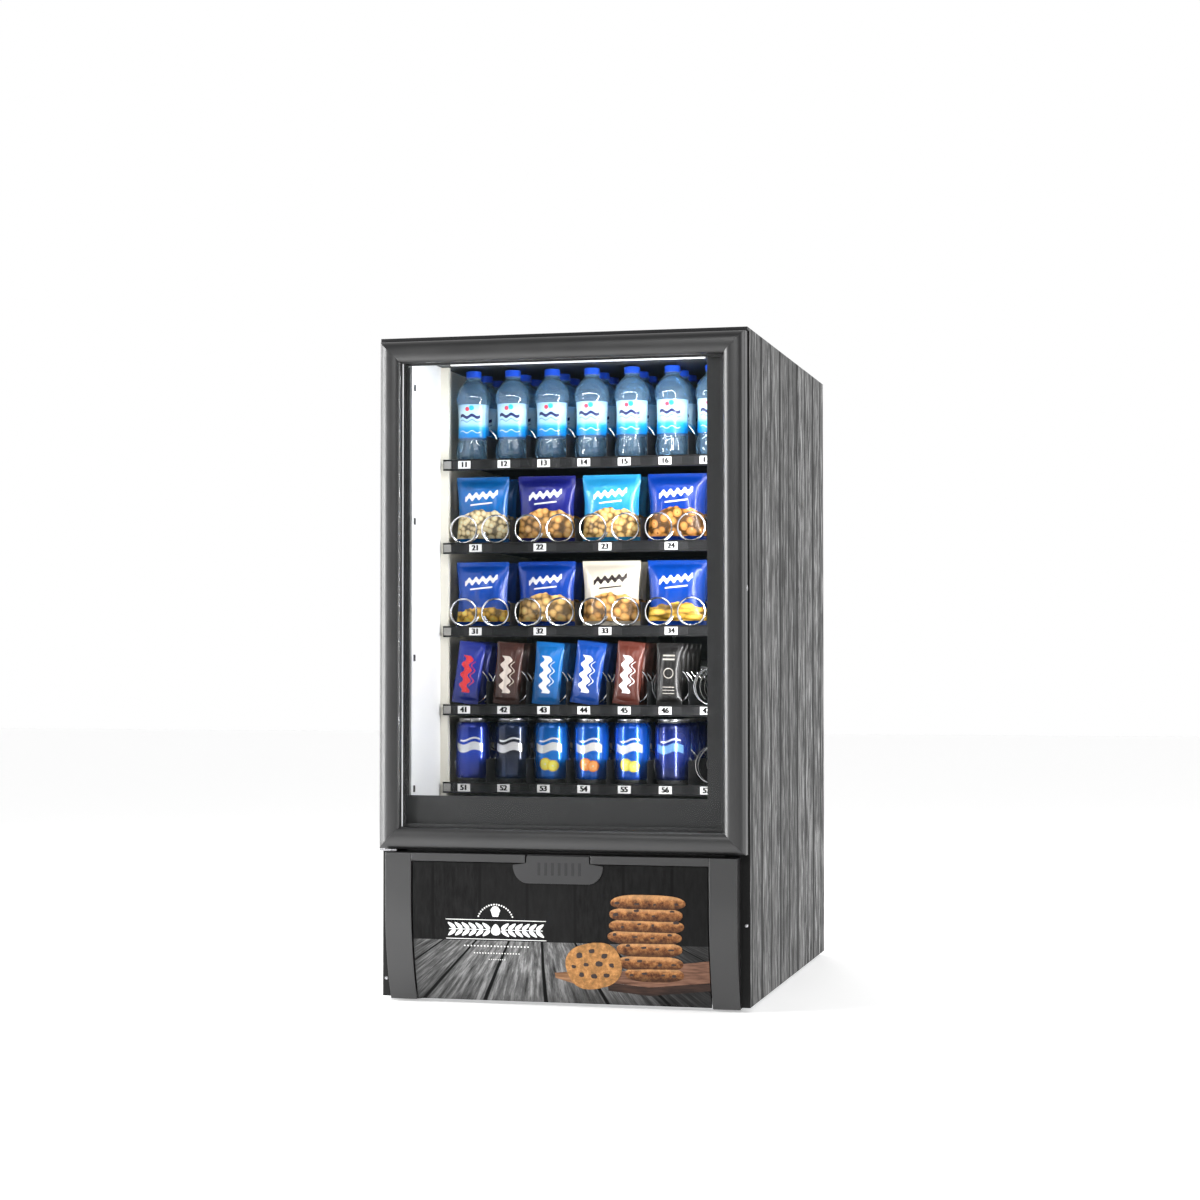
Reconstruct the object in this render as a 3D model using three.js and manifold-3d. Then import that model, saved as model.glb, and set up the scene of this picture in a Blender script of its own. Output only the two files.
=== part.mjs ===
// A compact refrigerated snack vending machine: an insulated cabinet on four feet, a framed glass
// door hinged on the left, five pull-out trays whose wire spirals push the goods forward, and a
// delivery bin behind a curved pull-down flap. The refrigeration set stands behind the bin.
//
// Millimetres, +Z up, front towards -Y. The origin is on the floor, under the middle of the machine.
import * as THREE from "three";
import { mergeVertices } from "three/addons/utils/BufferGeometryUtils.js";
import Module from "manifold-3d";

const wasm = await Module();
wasm.setup();

// ---------- Driving dimensions ----------

const WIDTH = 656;
const DEPTH = 882;
const HEIGHT = 1165;
const NOSE = 38; // how far the door and the fascia stand in front of the cabinet
const CLEARANCE = 8; // under the cabinet
const SHEET = 1.5; // sheet metal
const GAP = 0.3; // between neighbouring pieces

const DOOR = { half: 326, low: 268, high: 1158, thick: 30, face: 39 };
const FASCIA = { half: 312, post: 48, low: 4, high: 263, rail: 14, bend: 190, tuck: 36 };
const CELL = { half: 277, floor: 340, ceiling: 1136, front: -235, rear: 390 };
const DECK_UNDERSIDE = 300;

const TRAY_FLOORS = [962, 809.5, 657.5, 515, 373.5];
const TRAY = { half: 260.5, front: -241, rear: 300, strip: 20 };
const SINGLE = { channels: 7, first: -225, pitch: 75, radius: 33.9, wire: 1.5 };
const DOUBLE = { channels: 4, first: -203.5, pitch: 121.5, radius: 25, wire: 1.8, apart: 60 };

const HINGE = { x: -320, y: -416, pin: 3.5 };
const LOCK = { x: 311, y: -417, z: 720, barrel: 5.5 };
const FLAP_AXIS = { y: -397, z: 14 };
const SECURITY_AXIS = { y: -214, z: 258 };

const half = WIDTH / 2;
const front = -DEPTH / 2;
const back = DEPTH / 2;
const face = front + NOSE; // the cabinet's front plane
const flangeWidth = 44; // the dark front flange that the door seals against

// ---------- Finishes ----------

const paint = (color, roughness, metalness) =>
  new THREE.MeshStandardMaterial({ color, roughness, metalness });

const charcoal = paint(0x3c3c3e, 0.42, 0.2);
const black = paint(0x121213, 0.45, 0.1);
const decor = paint(0x6e6e6d, 0.6, 0);
const white = paint(0xe9e9e7, 0.4, 0.1);
const zinc = paint(0xa9abad, 0.4, 0.9);
const wireSteel = paint(0xd0d2d4, 0.2, 1);
const aluminium = paint(0xc4c6c8, 0.35, 1);
const rubber = paint(0x1c1c1c, 0.9, 0);
const light = paint(0xfafcff, 0.3, 0);
const print = paint(0x2a2a2a, 0.35, 0);
const glass = new THREE.MeshStandardMaterial({
  color: 0xe6f0ee,
  roughness: 0.05,
  metalness: 0,
  transparent: true,
  opacity: 0.25,
});

// ---------- Solids ----------

// A closed three.js geometry as a manifold-3d solid.
function solidOf(geometry) {
  const bare = geometry.index ? geometry.toNonIndexed() : geometry.clone();
  bare.deleteAttribute("normal");
  bare.deleteAttribute("uv");
  const merged = mergeVertices(bare, 1e-3);
  return new wasm.Manifold(
    new wasm.Mesh({
      numProp: 3,
      vertProperties: merged.attributes.position.array,
      triVerts: new Uint32Array(merged.index.array),
    }),
  );
}

// A box between two limits along each axis.
function block([x0, x1], [y0, y1], [z0, z1]) {
  const box = new THREE.BoxGeometry(x1 - x0, y1 - y0, z1 - z0);
  return solidOf(box.translate((x0 + x1) / 2, (y0 + y1) / 2, (z0 + z1) / 2));
}

function outline(points) {
  return new THREE.Shape(points.map(([a, b]) => new THREE.Vector2(a, b)));
}

function extrude(shape, depth, curveSegments = 8) {
  return new THREE.ExtrudeGeometry(shape, { depth, bevelEnabled: false, curveSegments });
}

// An outline in the XY plane, run up Z.
function prismZ(shape, [z0, z1], segments) {
  return solidOf(extrude(shape, z1 - z0, segments).translate(0, 0, z0));
}

// An outline in the YZ plane, run along X.
function prismX(shape, [x0, x1], segments) {
  const turn = new THREE.Matrix4().makeBasis(
    new THREE.Vector3(0, 1, 0),
    new THREE.Vector3(0, 0, 1),
    new THREE.Vector3(1, 0, 0),
  );
  return solidOf(extrude(shape, x1 - x0, segments).applyMatrix4(turn).translate(x0, 0, 0));
}

// An outline in the XZ plane, run along Y.
function prismY(shape, [y0, y1], segments) {
  return solidOf(extrude(shape, y1 - y0, segments).rotateX(Math.PI / 2).translate(0, y1, 0));
}

// A round bar between two stations on an axis parallel to X, Y or Z.
function bar(axis, radius, [from, to], [a, b], sides = 16) {
  const cylinder = new THREE.CylinderGeometry(radius, radius, to - from, sides);
  const middle = (from + to) / 2;
  if (axis === "x") cylinder.rotateZ(-Math.PI / 2).translate(middle, a, b);
  if (axis === "y") cylinder.translate(a, middle, b);
  if (axis === "z") cylinder.rotateX(Math.PI / 2).translate(a, b, middle);
  return solidOf(cylinder);
}

const join = (...solids) => solids.reduce((all, next) => all.add(next));
const cut = (solid, ...tools) => tools.reduce((left, tool) => left.subtract(tool), solid);

const machine = new THREE.Group();

// Adds a solid to the machine, or to one of its groups, as a named mesh.
function place(name, solid, material, parent = machine) {
  const { numProp, vertProperties, triVerts } = solid.getMesh();
  const positions = new Float32Array((vertProperties.length / numProp) * 3);
  for (let i = 0; i < positions.length / 3; i++)
    positions.set(vertProperties.subarray(i * numProp, i * numProp + 3), i * 3);
  const geometry = new THREE.BufferGeometry();
  geometry.setAttribute("position", new THREE.BufferAttribute(positions, 3));
  geometry.setIndex(new THREE.BufferAttribute(triVerts, 1));
  geometry.computeVertexNormals();
  const mesh = new THREE.Mesh(geometry, material);
  mesh.name = name;
  parent.add(mesh);
  return mesh;
}

// The same, mirrored to the machine's right-hand side.
function placeMirrored(name, solid, material) {
  place(name, solid, material).scale.x = -1;
}

// ---------- Cabinet shell ----------

// The latch reaches through the right-hand front flange. The right side is made as a mirrored
// left side, so its cuts are at negative X.
const latchSlot = block([-LOCK.x - 3, -LOCK.x + 3], [face - 1, face + 15], [714, 748]);
const latchPocket = block([-LOCK.x - 3, -LOCK.x + 3], [face + 1, face + 15], [704, 748]);

function sidePanel() {
  const skin = outline([
    [-half, face],
    [-half + flangeWidth, face],
    [-half + flangeWidth, face + SHEET],
    [-half + SHEET, face + SHEET],
    [-half + SHEET, back - SHEET],
    [-half + 20, back - SHEET],
    [-half + 20, back],
    [-half, back],
  ]);
  return prismZ(skin, [CLEARANCE, HEIGHT]);
}

const insideSkin = half - SHEET - GAP;
const behindFlange = face + SHEET + GAP;
const betweenFlanges = half - flangeWidth - GAP;
const beforeRear = back - SHEET - GAP;
const rearHalf = half - 20 - GAP; // between the side panels' rear returns
const GRILLE_TOP = 250;

function topPanel() {
  const visor = block([-half, half], [face - 18, face - GAP], [HEIGHT - 5.7, HEIGHT]);
  const bridge = block([-betweenFlanges, betweenFlanges], [face - 1, face + 3], [HEIGHT - SHEET, HEIGHT]);
  const sheet = block([-insideSkin, insideSkin], [behindFlange, beforeRear], [HEIGHT - SHEET, HEIGHT]);
  const flange = block([-betweenFlanges, betweenFlanges], [face, face + SHEET], [1132, HEIGHT - 1]);
  const pinHole = bar("z", HINGE.pin + GAP, [HEIGHT - 8, HEIGHT + 1], [HINGE.x, HINGE.y], 12);
  return cut(join(visor, bridge, sheet, flange), pinHole);
}

function rearGrille() {
  const panel = block([-rearHalf, rearHalf], [back - SHEET, back], [10, GRILLE_TOP]);
  const slots = [];
  for (const x of [-200, 0, 200])
    for (let row = 0; row < 9; row++) {
      const z = 60 + row * 18;
      slots.push(block([x - 75, x + 75], [back - 5, back + 5], [z, z + 5]));
    }
  return cut(panel, ...slots);
}

function baseTray() {
  const depth = [-380, beforeRear];
  const pan = block([-insideSkin, insideSkin], depth, [CLEARANCE, 18]);
  const hollow = block([-insideSkin + 2, insideSkin - 2], [depth[0] + 2, depth[1] - 2], [10, 20]);
  const holes = footPlaces.map((place) => bar("z", 5.5, [0, 20], place, 12));
  return cut(pan, hollow, ...holes);
}

function frontCrossbar() {
  const channel = outline([
    [face, 250],
    [face + 18, 250],
    [face + 18, 251.5],
    [face + SHEET, 251.5],
    [face + SHEET, 298],
    [face + 18, 298],
    [face + 18, 299.5],
    [face, 299.5],
  ]);
  return prismX(channel, [-betweenFlanges, betweenFlanges]);
}

const footPlaces = [
  [-285, -355],
  [285, -355],
  [-285, 410],
  [285, 410],
];

place("side_panel_left", sidePanel(), decor);
placeMirrored("side_panel_right", cut(sidePanel(), latchSlot), decor);
place("top_panel", topPanel(), black);
place(
  "rear_panel",
  block([-rearHalf, rearHalf], [back - SHEET, back], [GRILLE_TOP + GAP, HEIGHT - SHEET - GAP]),
  zinc,
);
place("rear_grille", rearGrille(), zinc);
place("base_tray", baseTray(), zinc);
place("front_crossbar", frontCrossbar(), charcoal);

["foot_front_left", "foot_front_right", "foot_rear_left", "foot_rear_right"].forEach((name, i) => {
  const pad = bar("z", 20, [0, 7.7], [0, 0], 16);
  const stem = bar("z", 5, [5, 18], [0, 0], 12);
  place(name, join(pad, stem), black).position.set(...footPlaces[i], 0);
});

// ---------- Insulated cell ----------

const wallX = [-insideSkin, -CELL.half];
const wallY = [behindFlange, CELL.rear];
const sideWall = () => block(wallX, wallY, [DECK_UNDERSIDE, CELL.ceiling]);
const aboveWalls = [CELL.ceiling + GAP, HEIGHT - SHEET - GAP];

place("wall_left", sideWall(), white);
placeMirrored("wall_right", cut(sideWall(), latchPocket), white);
place("ceiling", block([-insideSkin, insideSkin], wallY, aboveWalls), white);
place(
  "wall_rear",
  block([-insideSkin, insideSkin], [CELL.rear + GAP, beforeRear], [DECK_UNDERSIDE, aboveWalls[1]]),
  white,
);
place(
  "insulated_deck",
  block([-CELL.half + GAP, CELL.half - GAP], [CELL.front, CELL.rear], [DECK_UNDERSIDE, CELL.floor]),
  white,
);

// An upright plate with a front post and one runner under each tray.
function trayRack() {
  const inner = -CELL.half + GAP;
  const height = [CELL.floor + 1, CELL.ceiling - 1];
  const plate = block([inner, inner + SHEET], [CELL.front, 345], height);
  const post = block([inner, inner + 14.5], [CELL.front, CELL.front + 12], height);
  const runners = TRAY_FLOORS.map((z) =>
    block([inner, -TRAY.half + 6], [CELL.front + 1, TRAY.rear], [z - 4, z - 2]),
  );
  return join(plate, post, ...runners);
}

place("tray_rack_left", trayRack(), white);
placeMirrored("tray_rack_right", trayRack(), white);

function ledBar() {
  const section = outline([
    [-401, 1135.7],
    [-401, 1124],
    [-397, 1120],
    [-391, 1126],
    [-391, 1135.7],
  ]);
  return prismX(section, [-270, 270]);
}

place("led_bar", ledBar(), light);

// ---------- Door ----------

const doorRear = front + DOOR.thick;
const shoulder = doorRear - 16; // where the rounded nose starts
const glassSeat = doorRear - 14; // the lip's rear face, where the glass unit rests

// A rail lies along Z with its outer edge at X 0 and mitred ends. Its nose is half an ellipse.
function doorRail(length) {
  const section = new THREE.Shape();
  section.moveTo(0, doorRear);
  section.lineTo(0, shoulder);
  section.absellipse(DOOR.face / 2, shoulder, DOOR.face / 2, shoulder - front, Math.PI, 2 * Math.PI);
  section.lineTo(DOOR.face, glassSeat);
  section.lineTo(DOOR.face - 9, glassSeat);
  section.lineTo(DOOR.face - 9, doorRear);
  const geometry = extrude(section, 1, 12);
  const place = geometry.attributes.position;
  const reach = length / 2 - GAP / 2;
  for (let i = 0; i < place.count; i++) {
    const inset = reach - place.getX(i);
    place.setZ(i, place.getZ(i) > 0.5 ? inset : -inset);
  }
  return solidOf(geometry);
}

const doorWidth = 2 * DOOR.half;
const doorHeight = DOOR.high - DOOR.low;
const doorMiddle = (DOOR.high + DOOR.low) / 2;
const bore = HINGE.pin + GAP;
const pinDepth = 18;
const pinInset = HINGE.x + DOOR.half; // from the door's outer edge to the hinge axis

function hingeRail() {
  const end = doorHeight / 2;
  return cut(
    doorRail(doorHeight),
    bar("z", bore, [end - pinDepth - 1, end + 1], [pinInset, HINGE.y], 12),
    bar("z", bore, [-end - 1, -end + pinDepth + 1], [pinInset, HINGE.y], 12),
  );
}

// The lock rail is built as a left rail and mirrored, so its lock is at DOOR.half - LOCK.x.
function lockRail() {
  const x = DOOR.half - LOCK.x;
  const z = LOCK.z - doorMiddle;
  const slot = block([x - 3, x + 3], [doorRear - 14.5, doorRear + 1], [z - 14, z + 28]);
  const barrelBore = bar("x", LOCK.barrel + GAP, [-1, x], [LOCK.y, z], 16);
  return cut(doorRail(doorHeight), slot, barrelBore);
}

// The hinge pin crosses each end rail's mitred corner; side says which way its X runs.
function endRail(side) {
  const across = (side * doorWidth) / 2 - side * pinInset;
  return cut(doorRail(doorWidth), bar("x", bore, [-1, pinInset + 8], [HINGE.y, across], 12));
}

const leftRail = place("door_rail_left", hingeRail(), charcoal);
leftRail.position.set(-DOOR.half, 0, doorMiddle);
const rightRail = place("door_rail_right", lockRail(), charcoal);
rightRail.position.set(DOOR.half, 0, doorMiddle);
rightRail.scale.x = -1;
const topRail = place("door_rail_top", endRail(-1), charcoal);
topRail.position.z = DOOR.high;
topRail.rotation.y = Math.PI / 2;
const bottomRail = place("door_rail_bottom", endRail(1), charcoal);
bottomRail.position.z = DOOR.low;
bottomRail.rotation.y = -Math.PI / 2;

// The glass unit: two panes either side of an aluminium spacer.
const paneHalf = DOOR.half - DOOR.face + 8.5;
const paneZ = [DOOR.low + DOOR.face - 8.5, DOOR.high - DOOR.face + 8.5];
const pane = (y) => block([-paneHalf, paneHalf], y, paneZ);

// A flat rectangular ring around the middle of the door.
function ring([y0, y1], outer, inner) {
  const rise = doorHeight / 2 - DOOR.half;
  const zone = (reach) => [doorMiddle - reach - rise, doorMiddle + reach + rise];
  const solid = block([-outer, outer], [y0, y1], zone(outer));
  return cut(solid, block([-inner, inner], [y0 - 1, y1 + 1], zone(inner)));
}

place("glass_outer", pane([glassSeat + GAP, glassSeat + 3.3]), glass);
place("glass_spacer", ring([glassSeat + 3.6, glassSeat + 9.6], paneHalf - 1, paneHalf - 14), aluminium);
place("glass_inner", pane([glassSeat + 9.9, glassSeat + 12.9]), glass);
place("door_gasket", ring([doorRear + GAP, face - GAP], 307, 297.5), rubber);

// The dark L-shaped panel that hides the right end and the foot of the goods space.
function doorMask() {
  const column = [256, 296];
  const band = [300, 361];
  const shape = outline([
    [-296, band[0]],
    [column[1], band[0]],
    [column[1], 1128],
    [column[0], 1128],
    [column[0], band[1]],
    [-296, band[1]],
  ]);
  return prismY(shape, [doorRear + GAP, doorRear + 2]);
}

place("door_mask", doorMask(), charcoal);

function lowerHinge() {
  const plate = block([-half + 1, -296], [HINGE.y - 9, face - GAP], [264, 267]);
  const leaf = block([-half + 1, -296], [face - 4, face - GAP], [264, 267.7]);
  const pin = bar("z", HINGE.pin, [265, DOOR.low + pinDepth], [HINGE.x, HINGE.y], 12);
  return join(plate, leaf, pin);
}

place(
  "hinge_pin_top",
  bar("z", HINGE.pin, [DOOR.high - pinDepth, HEIGHT - 0.5], [HINGE.x, HINGE.y], 12),
  zinc,
);
place("hinge_bracket_bottom", lowerHinge(), zinc);

// The hook points up while the lock is open. Turned down, its toe goes behind the front flange.
function latchHook() {
  const hook = outline([
    [-5, -6],
    [5, -6],
    [5, 16],
    [12, 16],
    [12, 24],
    [-5, 24],
  ]);
  return prismX(hook, [-2, 2]);
}

place("latch_hook", latchHook(), zinc).position.set(LOCK.x, LOCK.y, LOCK.z);
place("lock_barrel", bar("x", LOCK.barrel, [LOCK.x + 2.3, DOOR.half + 0.5], [LOCK.y, LOCK.z], 16), zinc);

// ---------- Fascia, flap and delivery bin ----------

// The fascia's front is upright down to the bend and then tucks back in an arc.
const tuckRadius = (FASCIA.bend ** 2 + FASCIA.tuck ** 2) / (2 * FASCIA.tuck);

// A profile in the YZ plane between two heights. The front follows the fascia, set back by
// recess, and the rear follows it at that thickness, or is the plane rearY.
function tuckedProfile(recess, [low, high], { thickness, rearY }) {
  const centre = front + tuckRadius;
  const outer = tuckRadius - recess;
  const turned = (radius, z) => Math.PI + Math.asin((FASCIA.bend - z) / radius);
  const shape = new THREE.Shape();
  shape.moveTo(front + recess, high);
  shape.absarc(centre, FASCIA.bend, outer, Math.PI, turned(outer, low), false);
  if (thickness) {
    const inner = outer - thickness;
    shape.absarc(centre, FASCIA.bend, inner, turned(inner, low), Math.PI, true);
    shape.lineTo(front + recess + thickness, high);
  } else {
    shape.lineTo(rearY, low);
    shape.lineTo(rearY, high);
  }
  return shape;
}

function fascia() {
  const rear = face - GAP;
  const postX = [FASCIA.half - FASCIA.post, FASCIA.half];
  const post = tuckedProfile(0, [FASCIA.low, FASCIA.high], { rearY: rear });
  const railZ = [FASCIA.high - FASCIA.rail, FASCIA.high];
  const rail = block([-postX[1] + 10, postX[1] - 10], [front, rear], railZ);
  const handleNotch = block([-58, 58], [front - 1, front + 13], [railZ[0] - 1, railZ[1] + 1]);
  return cut(
    join(prismX(post, postX, 6), prismX(post, [-postX[1], -postX[0]], 6), rail),
    handleNotch,
  );
}

const flapTop = FASCIA.high - FASCIA.rail - 1;

function flapPanel() {
  const reach = FASCIA.half - FASCIA.post - 2;
  const skin = tuckedProfile(2.5, [6, flapTop], { thickness: 4 });
  const lip = block([-reach, reach], [front + 3, front + 14], [flapTop - 3, flapTop]);
  const barrel = bar("x", 6, [-reach, reach], [FLAP_AXIS.y, FLAP_AXIS.z], 12);
  const web = block([-reach, reach], [FLAP_AXIS.y - 11, FLAP_AXIS.y - 2], [10, 14]);
  const pivots = bar("x", 4, [-reach - 9, reach + 9], [FLAP_AXIS.y, FLAP_AXIS.z], 12);
  return join(prismX(skin, [-reach, reach], 8), lip, barrel, web, pivots);
}

function flapHandle() {
  const shape = new THREE.Shape();
  shape.moveTo(-55, flapTop + 13.5);
  shape.lineTo(-56, flapTop);
  shape.lineTo(-80, flapTop - 3);
  shape.quadraticCurveTo(-76, flapTop - 30, -50, flapTop - 34);
  shape.lineTo(50, flapTop - 34);
  shape.quadraticCurveTo(76, flapTop - 30, 80, flapTop - 3);
  shape.lineTo(56, flapTop);
  shape.lineTo(55, flapTop + 13.5);
  const plate = prismY(shape, [front, front + 2.2], 5);
  const grip = block([-54, 54], [front, front + 11], [flapTop + GAP, flapTop + 13]);
  return join(plate, grip);
}

function deliveryBin() {
  const reach = 268;
  const wallHeight = [9, 250];
  const wall = (x) => [
    block(x, [face + 3, -208], [20, wallHeight[1]]),
    block(x, [face + 1, -385], [wallHeight[0], 60]),
    block(x, [SECURITY_AXIS.y - 8, -208], [200, SECURITY_AXIS.z + 8]),
  ];
  const floor = block([-reach - 0.5, reach + 0.5], [-385, -208], [20, 22]);
  const rearWall = block([-reach - 0.5, reach + 0.5], [-209.5, -208], [20, wallHeight[1]]);
  const pivotHole = bar("x", 4.4, [-reach - 5, reach + 5], [FLAP_AXIS.y, FLAP_AXIS.z], 12);
  const axleHole = bar("x", 3.3, [-reach - 5, reach + 5], [SECURITY_AXIS.y, SECURITY_AXIS.z], 12);
  return cut(
    join(floor, rearWall, ...wall([reach, reach + SHEET]), ...wall([-reach - SHEET, -reach])),
    pivotHole,
    axleHole,
  );
}

// It hangs behind the bin and swings up under the chute when the flap is pulled.
function securityFlap() {
  const plate = block([-262, 262], [-0.75, 0.75], [-150, 0]);
  return join(plate, bar("x", 3, [-272, 272], [0, 0], 12));
}

place("fascia", fascia(), charcoal);
place("flap_panel", flapPanel(), print);
place("flap_handle", flapHandle(), charcoal);
place("delivery_bin", deliveryBin(), black);
place("security_flap", securityFlap(), black).position.set(0, SECURITY_AXIS.y, SECURITY_AXIS.z);

// ---------- Trays, motors and spirals ----------

// The channels of each tray, from the top.
const LAYOUTS = [SINGLE, DOUBLE, DOUBLE, SINGLE, SINGLE];

// The middle of each channel, from the left.
function channelCentres({ channels, first, pitch }) {
  return Array.from({ length: channels }, (_, i) => first + pitch * i);
}

// A channel's spiral axes: one in its middle, or a pair.
const axesIn = (layout, centre) =>
  layout.apart ? [centre - layout.apart / 2, centre + layout.apart / 2] : [centre];

const axisHeight = ({ radius, wire }) => radius + wire + 1;

// A floor with a label strip in front and a divider after each channel.
function tray(layout) {
  const { half: reach, front: lip, rear } = TRAY;
  const centres = channelCentres(layout);
  const floor = block([-reach, reach], [lip + 2, rear], [-SHEET, 0]);
  const strip = block([-270, 270], [lip, lip + 3], [3 - TRAY.strip, 3]);
  const divided = layout === DOUBLE ? centres : centres.slice(0, -1);
  const dividers = divided.map((centre) => {
    const x = centre + layout.pitch / 2;
    return block([x - 0.6, x + 0.6], [lip + 2, rear - 0.5], [-1, 45]);
  });
  return join(floor, strip, ...dividers);
}

// The motors stand behind the tray on one upright plate.
function motorBank(layout) {
  const plate = block([-255, 255], [TRAY.rear + GAP, TRAY.rear + 2], [-1, 75]);
  const wide = layout === DOUBLE ? 48 : 23;
  const motors = channelCentres(layout).map((x) =>
    block([x - wide, x + wide], [TRAY.rear + 1, TRAY.rear + 40], [10, 62]),
  );
  return join(plate, ...motors);
}

// A wire helix about the Y axis. Hand is 1 for right-handed and -1 for left-handed.
class Helix extends THREE.Curve {
  constructor(radius, [from, to], turns, hand) {
    super();
    Object.assign(this, { radius, from, to, turns, hand });
  }
  getPoint(t, target = new THREE.Vector3()) {
    const angle = this.hand * 2 * Math.PI * this.turns * t;
    const y = this.from + (this.to - this.from) * t;
    return target.set(this.radius * Math.sin(angle), y, -this.radius * Math.cos(angle));
  }
}

function wireSpiral({ radius, wire }, foremost, turns, hand) {
  const helix = new Helix(radius, [289, foremost], turns, hand);
  const corners = [0, 1, 2, 3].map((i) => (i * Math.PI) / 2);
  const section = outline(corners.map((a) => [wire * Math.cos(a), wire * Math.sin(a)]));
  const coil = new THREE.ExtrudeGeometry(section, {
    steps: Math.round(turns * 6),
    extrudePath: helix,
  });
  const hub = bar("y", radius, [286, 292], [0, 0], 12);
  const shaft = bar("y", 4, [291, TRAY.rear - GAP], [0, 0], 8);
  return join(solidOf(coil), hub, shaft);
}

// Only the last channel of each tray has its spiral as a moving node.
const spiralFronts = [-160, -234, -234, -214, -200];
const spiralTurns = [6, 10, 10, 13, 7];

TRAY_FLOORS.forEach((floor, i) => {
  const layout = LAYOUTS[i];
  const shelf = new THREE.Group();
  shelf.position.z = floor;
  machine.add(shelf);
  place(`tray_${i + 1}`, tray(layout), black, shelf);
  place(`tray_${i + 1}_motors`, motorBank(layout), white, shelf);
  const axes = axesIn(layout, channelCentres(layout).at(-1));
  axes.forEach((x, side) => {
    const suffix = axes.length === 1 ? "" : ["_left", "_right"][side];
    const hand = axes.length === 2 && side === 0 ? -1 : 1;
    const coil = wireSpiral(layout, spiralFronts[i], spiralTurns[i], hand);
    place(`spiral_${i + 1}${suffix}`, coil, wireSteel, shelf).position.set(x, 0, axisHeight(layout));
  });
});

// ---------- Refrigeration and electrics ----------

// Pitched blades round a hub, turning about Y.
function fanRotor(radius, bladeCount = 5) {
  const blades = [];
  for (let i = 0; i < bladeCount; i++) {
    const blade = new THREE.BoxGeometry(radius - 10, 2, radius * 0.55);
    blade.rotateX(0.5).translate((radius + 10) / 2, 0, 0);
    blade.rotateY((i * 2 * Math.PI) / bladeCount);
    blades.push(solidOf(blade));
  }
  return join(bar("y", radius * 0.3, [-9, 9], [0, 0], 12), ...blades);
}

// A finned block with a fan motor stub standing in front of it.
function finnedCoil([x0, x1], [y0, y1], [z0, z1], motor) {
  const block0 = block([x0, x1], [y0, y1], [z0, z1]);
  const grooves = [];
  const fins = 14;
  for (let i = 1; i < fins; i++) {
    const x = x0 + ((x1 - x0) * i) / fins;
    grooves.push(block([x - 3, x + 3], [y0 - 1, y0 + 8], [z0 + 6, z1 - 6]));
  }
  const plateZ = [Math.min(z1 - 10, motor.z - 30), Math.max(z1, motor.z + 30)];
  const plate = block([motor.x - 30, motor.x + 30], [y0 + 9, y1], plateZ);
  const stub = bar("y", 14, [motor.y, y0 + 12], [motor.x, motor.z], 12);
  return join(cut(block0, ...grooves), plate, stub);
}

const CONDENSER_FAN = { x: -150, y: 305, z: 145, radius: 90 };
const EVAPORATOR_FAN = { x: 0, y: 362, z: 690, radius: 62 };

function compressor() {
  const shell = new THREE.LatheGeometry(
    [
      [0, 0],
      [54, 0],
      [62, 12],
      [64, 60],
      [62, 120],
      [48, 150],
      [22, 160],
      [0, 160],
    ].map(([r, z]) => new THREE.Vector2(r, z)),
    16,
  );
  const pot = solidOf(shell.rotateX(Math.PI / 2).translate(150, 60, 20));
  return join(pot, block([55, 245], [-10, 130], [11, 22]));
}

place("compressor", compressor(), black);
place(
  "condenser",
  finnedCoil([-290, -10], [330, 400], [30, 262], { ...CONDENSER_FAN, y: 316 }),
  aluminium,
);
place(
  "evaporator",
  finnedCoil([-180, 180], [372, 389], [345, 600], { ...EVAPORATOR_FAN, y: 373 }),
  aluminium,
);
place("condenser_fan", fanRotor(CONDENSER_FAN.radius), black).position.set(
  CONDENSER_FAN.x,
  CONDENSER_FAN.y,
  CONDENSER_FAN.z,
);
place("evaporator_fan", fanRotor(EVAPORATOR_FAN.radius), black).position.set(
  EVAPORATOR_FAN.x,
  EVAPORATOR_FAN.y,
  EVAPORATOR_FAN.z,
);
place("control_box", block([60, 290], [250, 420], [24, 210]), zinc);

export default machine;
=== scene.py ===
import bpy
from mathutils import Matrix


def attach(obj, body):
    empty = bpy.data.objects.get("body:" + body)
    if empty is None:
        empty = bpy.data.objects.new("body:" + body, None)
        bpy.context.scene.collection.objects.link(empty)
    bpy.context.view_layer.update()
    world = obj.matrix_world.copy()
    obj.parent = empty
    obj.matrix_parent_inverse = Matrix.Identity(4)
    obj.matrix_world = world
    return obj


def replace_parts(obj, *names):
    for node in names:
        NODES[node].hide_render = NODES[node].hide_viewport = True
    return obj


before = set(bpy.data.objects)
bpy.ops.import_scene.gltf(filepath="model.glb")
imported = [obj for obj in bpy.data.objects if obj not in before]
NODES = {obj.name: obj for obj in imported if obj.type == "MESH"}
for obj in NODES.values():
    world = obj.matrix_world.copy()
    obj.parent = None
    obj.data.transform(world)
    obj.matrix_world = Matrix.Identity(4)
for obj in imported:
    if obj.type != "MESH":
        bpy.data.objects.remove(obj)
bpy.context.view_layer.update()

# A compact refrigerated snack vending machine, dressed round its CAD frame. The machine faces -Y.
# Lengths below are in millimetres and are turned into metres where meshes are made.
import itertools
import random
from math import ceil, copysign, cos, exp, pi, radians, sin, sqrt

import bmesh
import bpy
from mathutils import Vector

MM = 0.001

# ---------- Driving dimensions, shared with the CAD ----------

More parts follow.
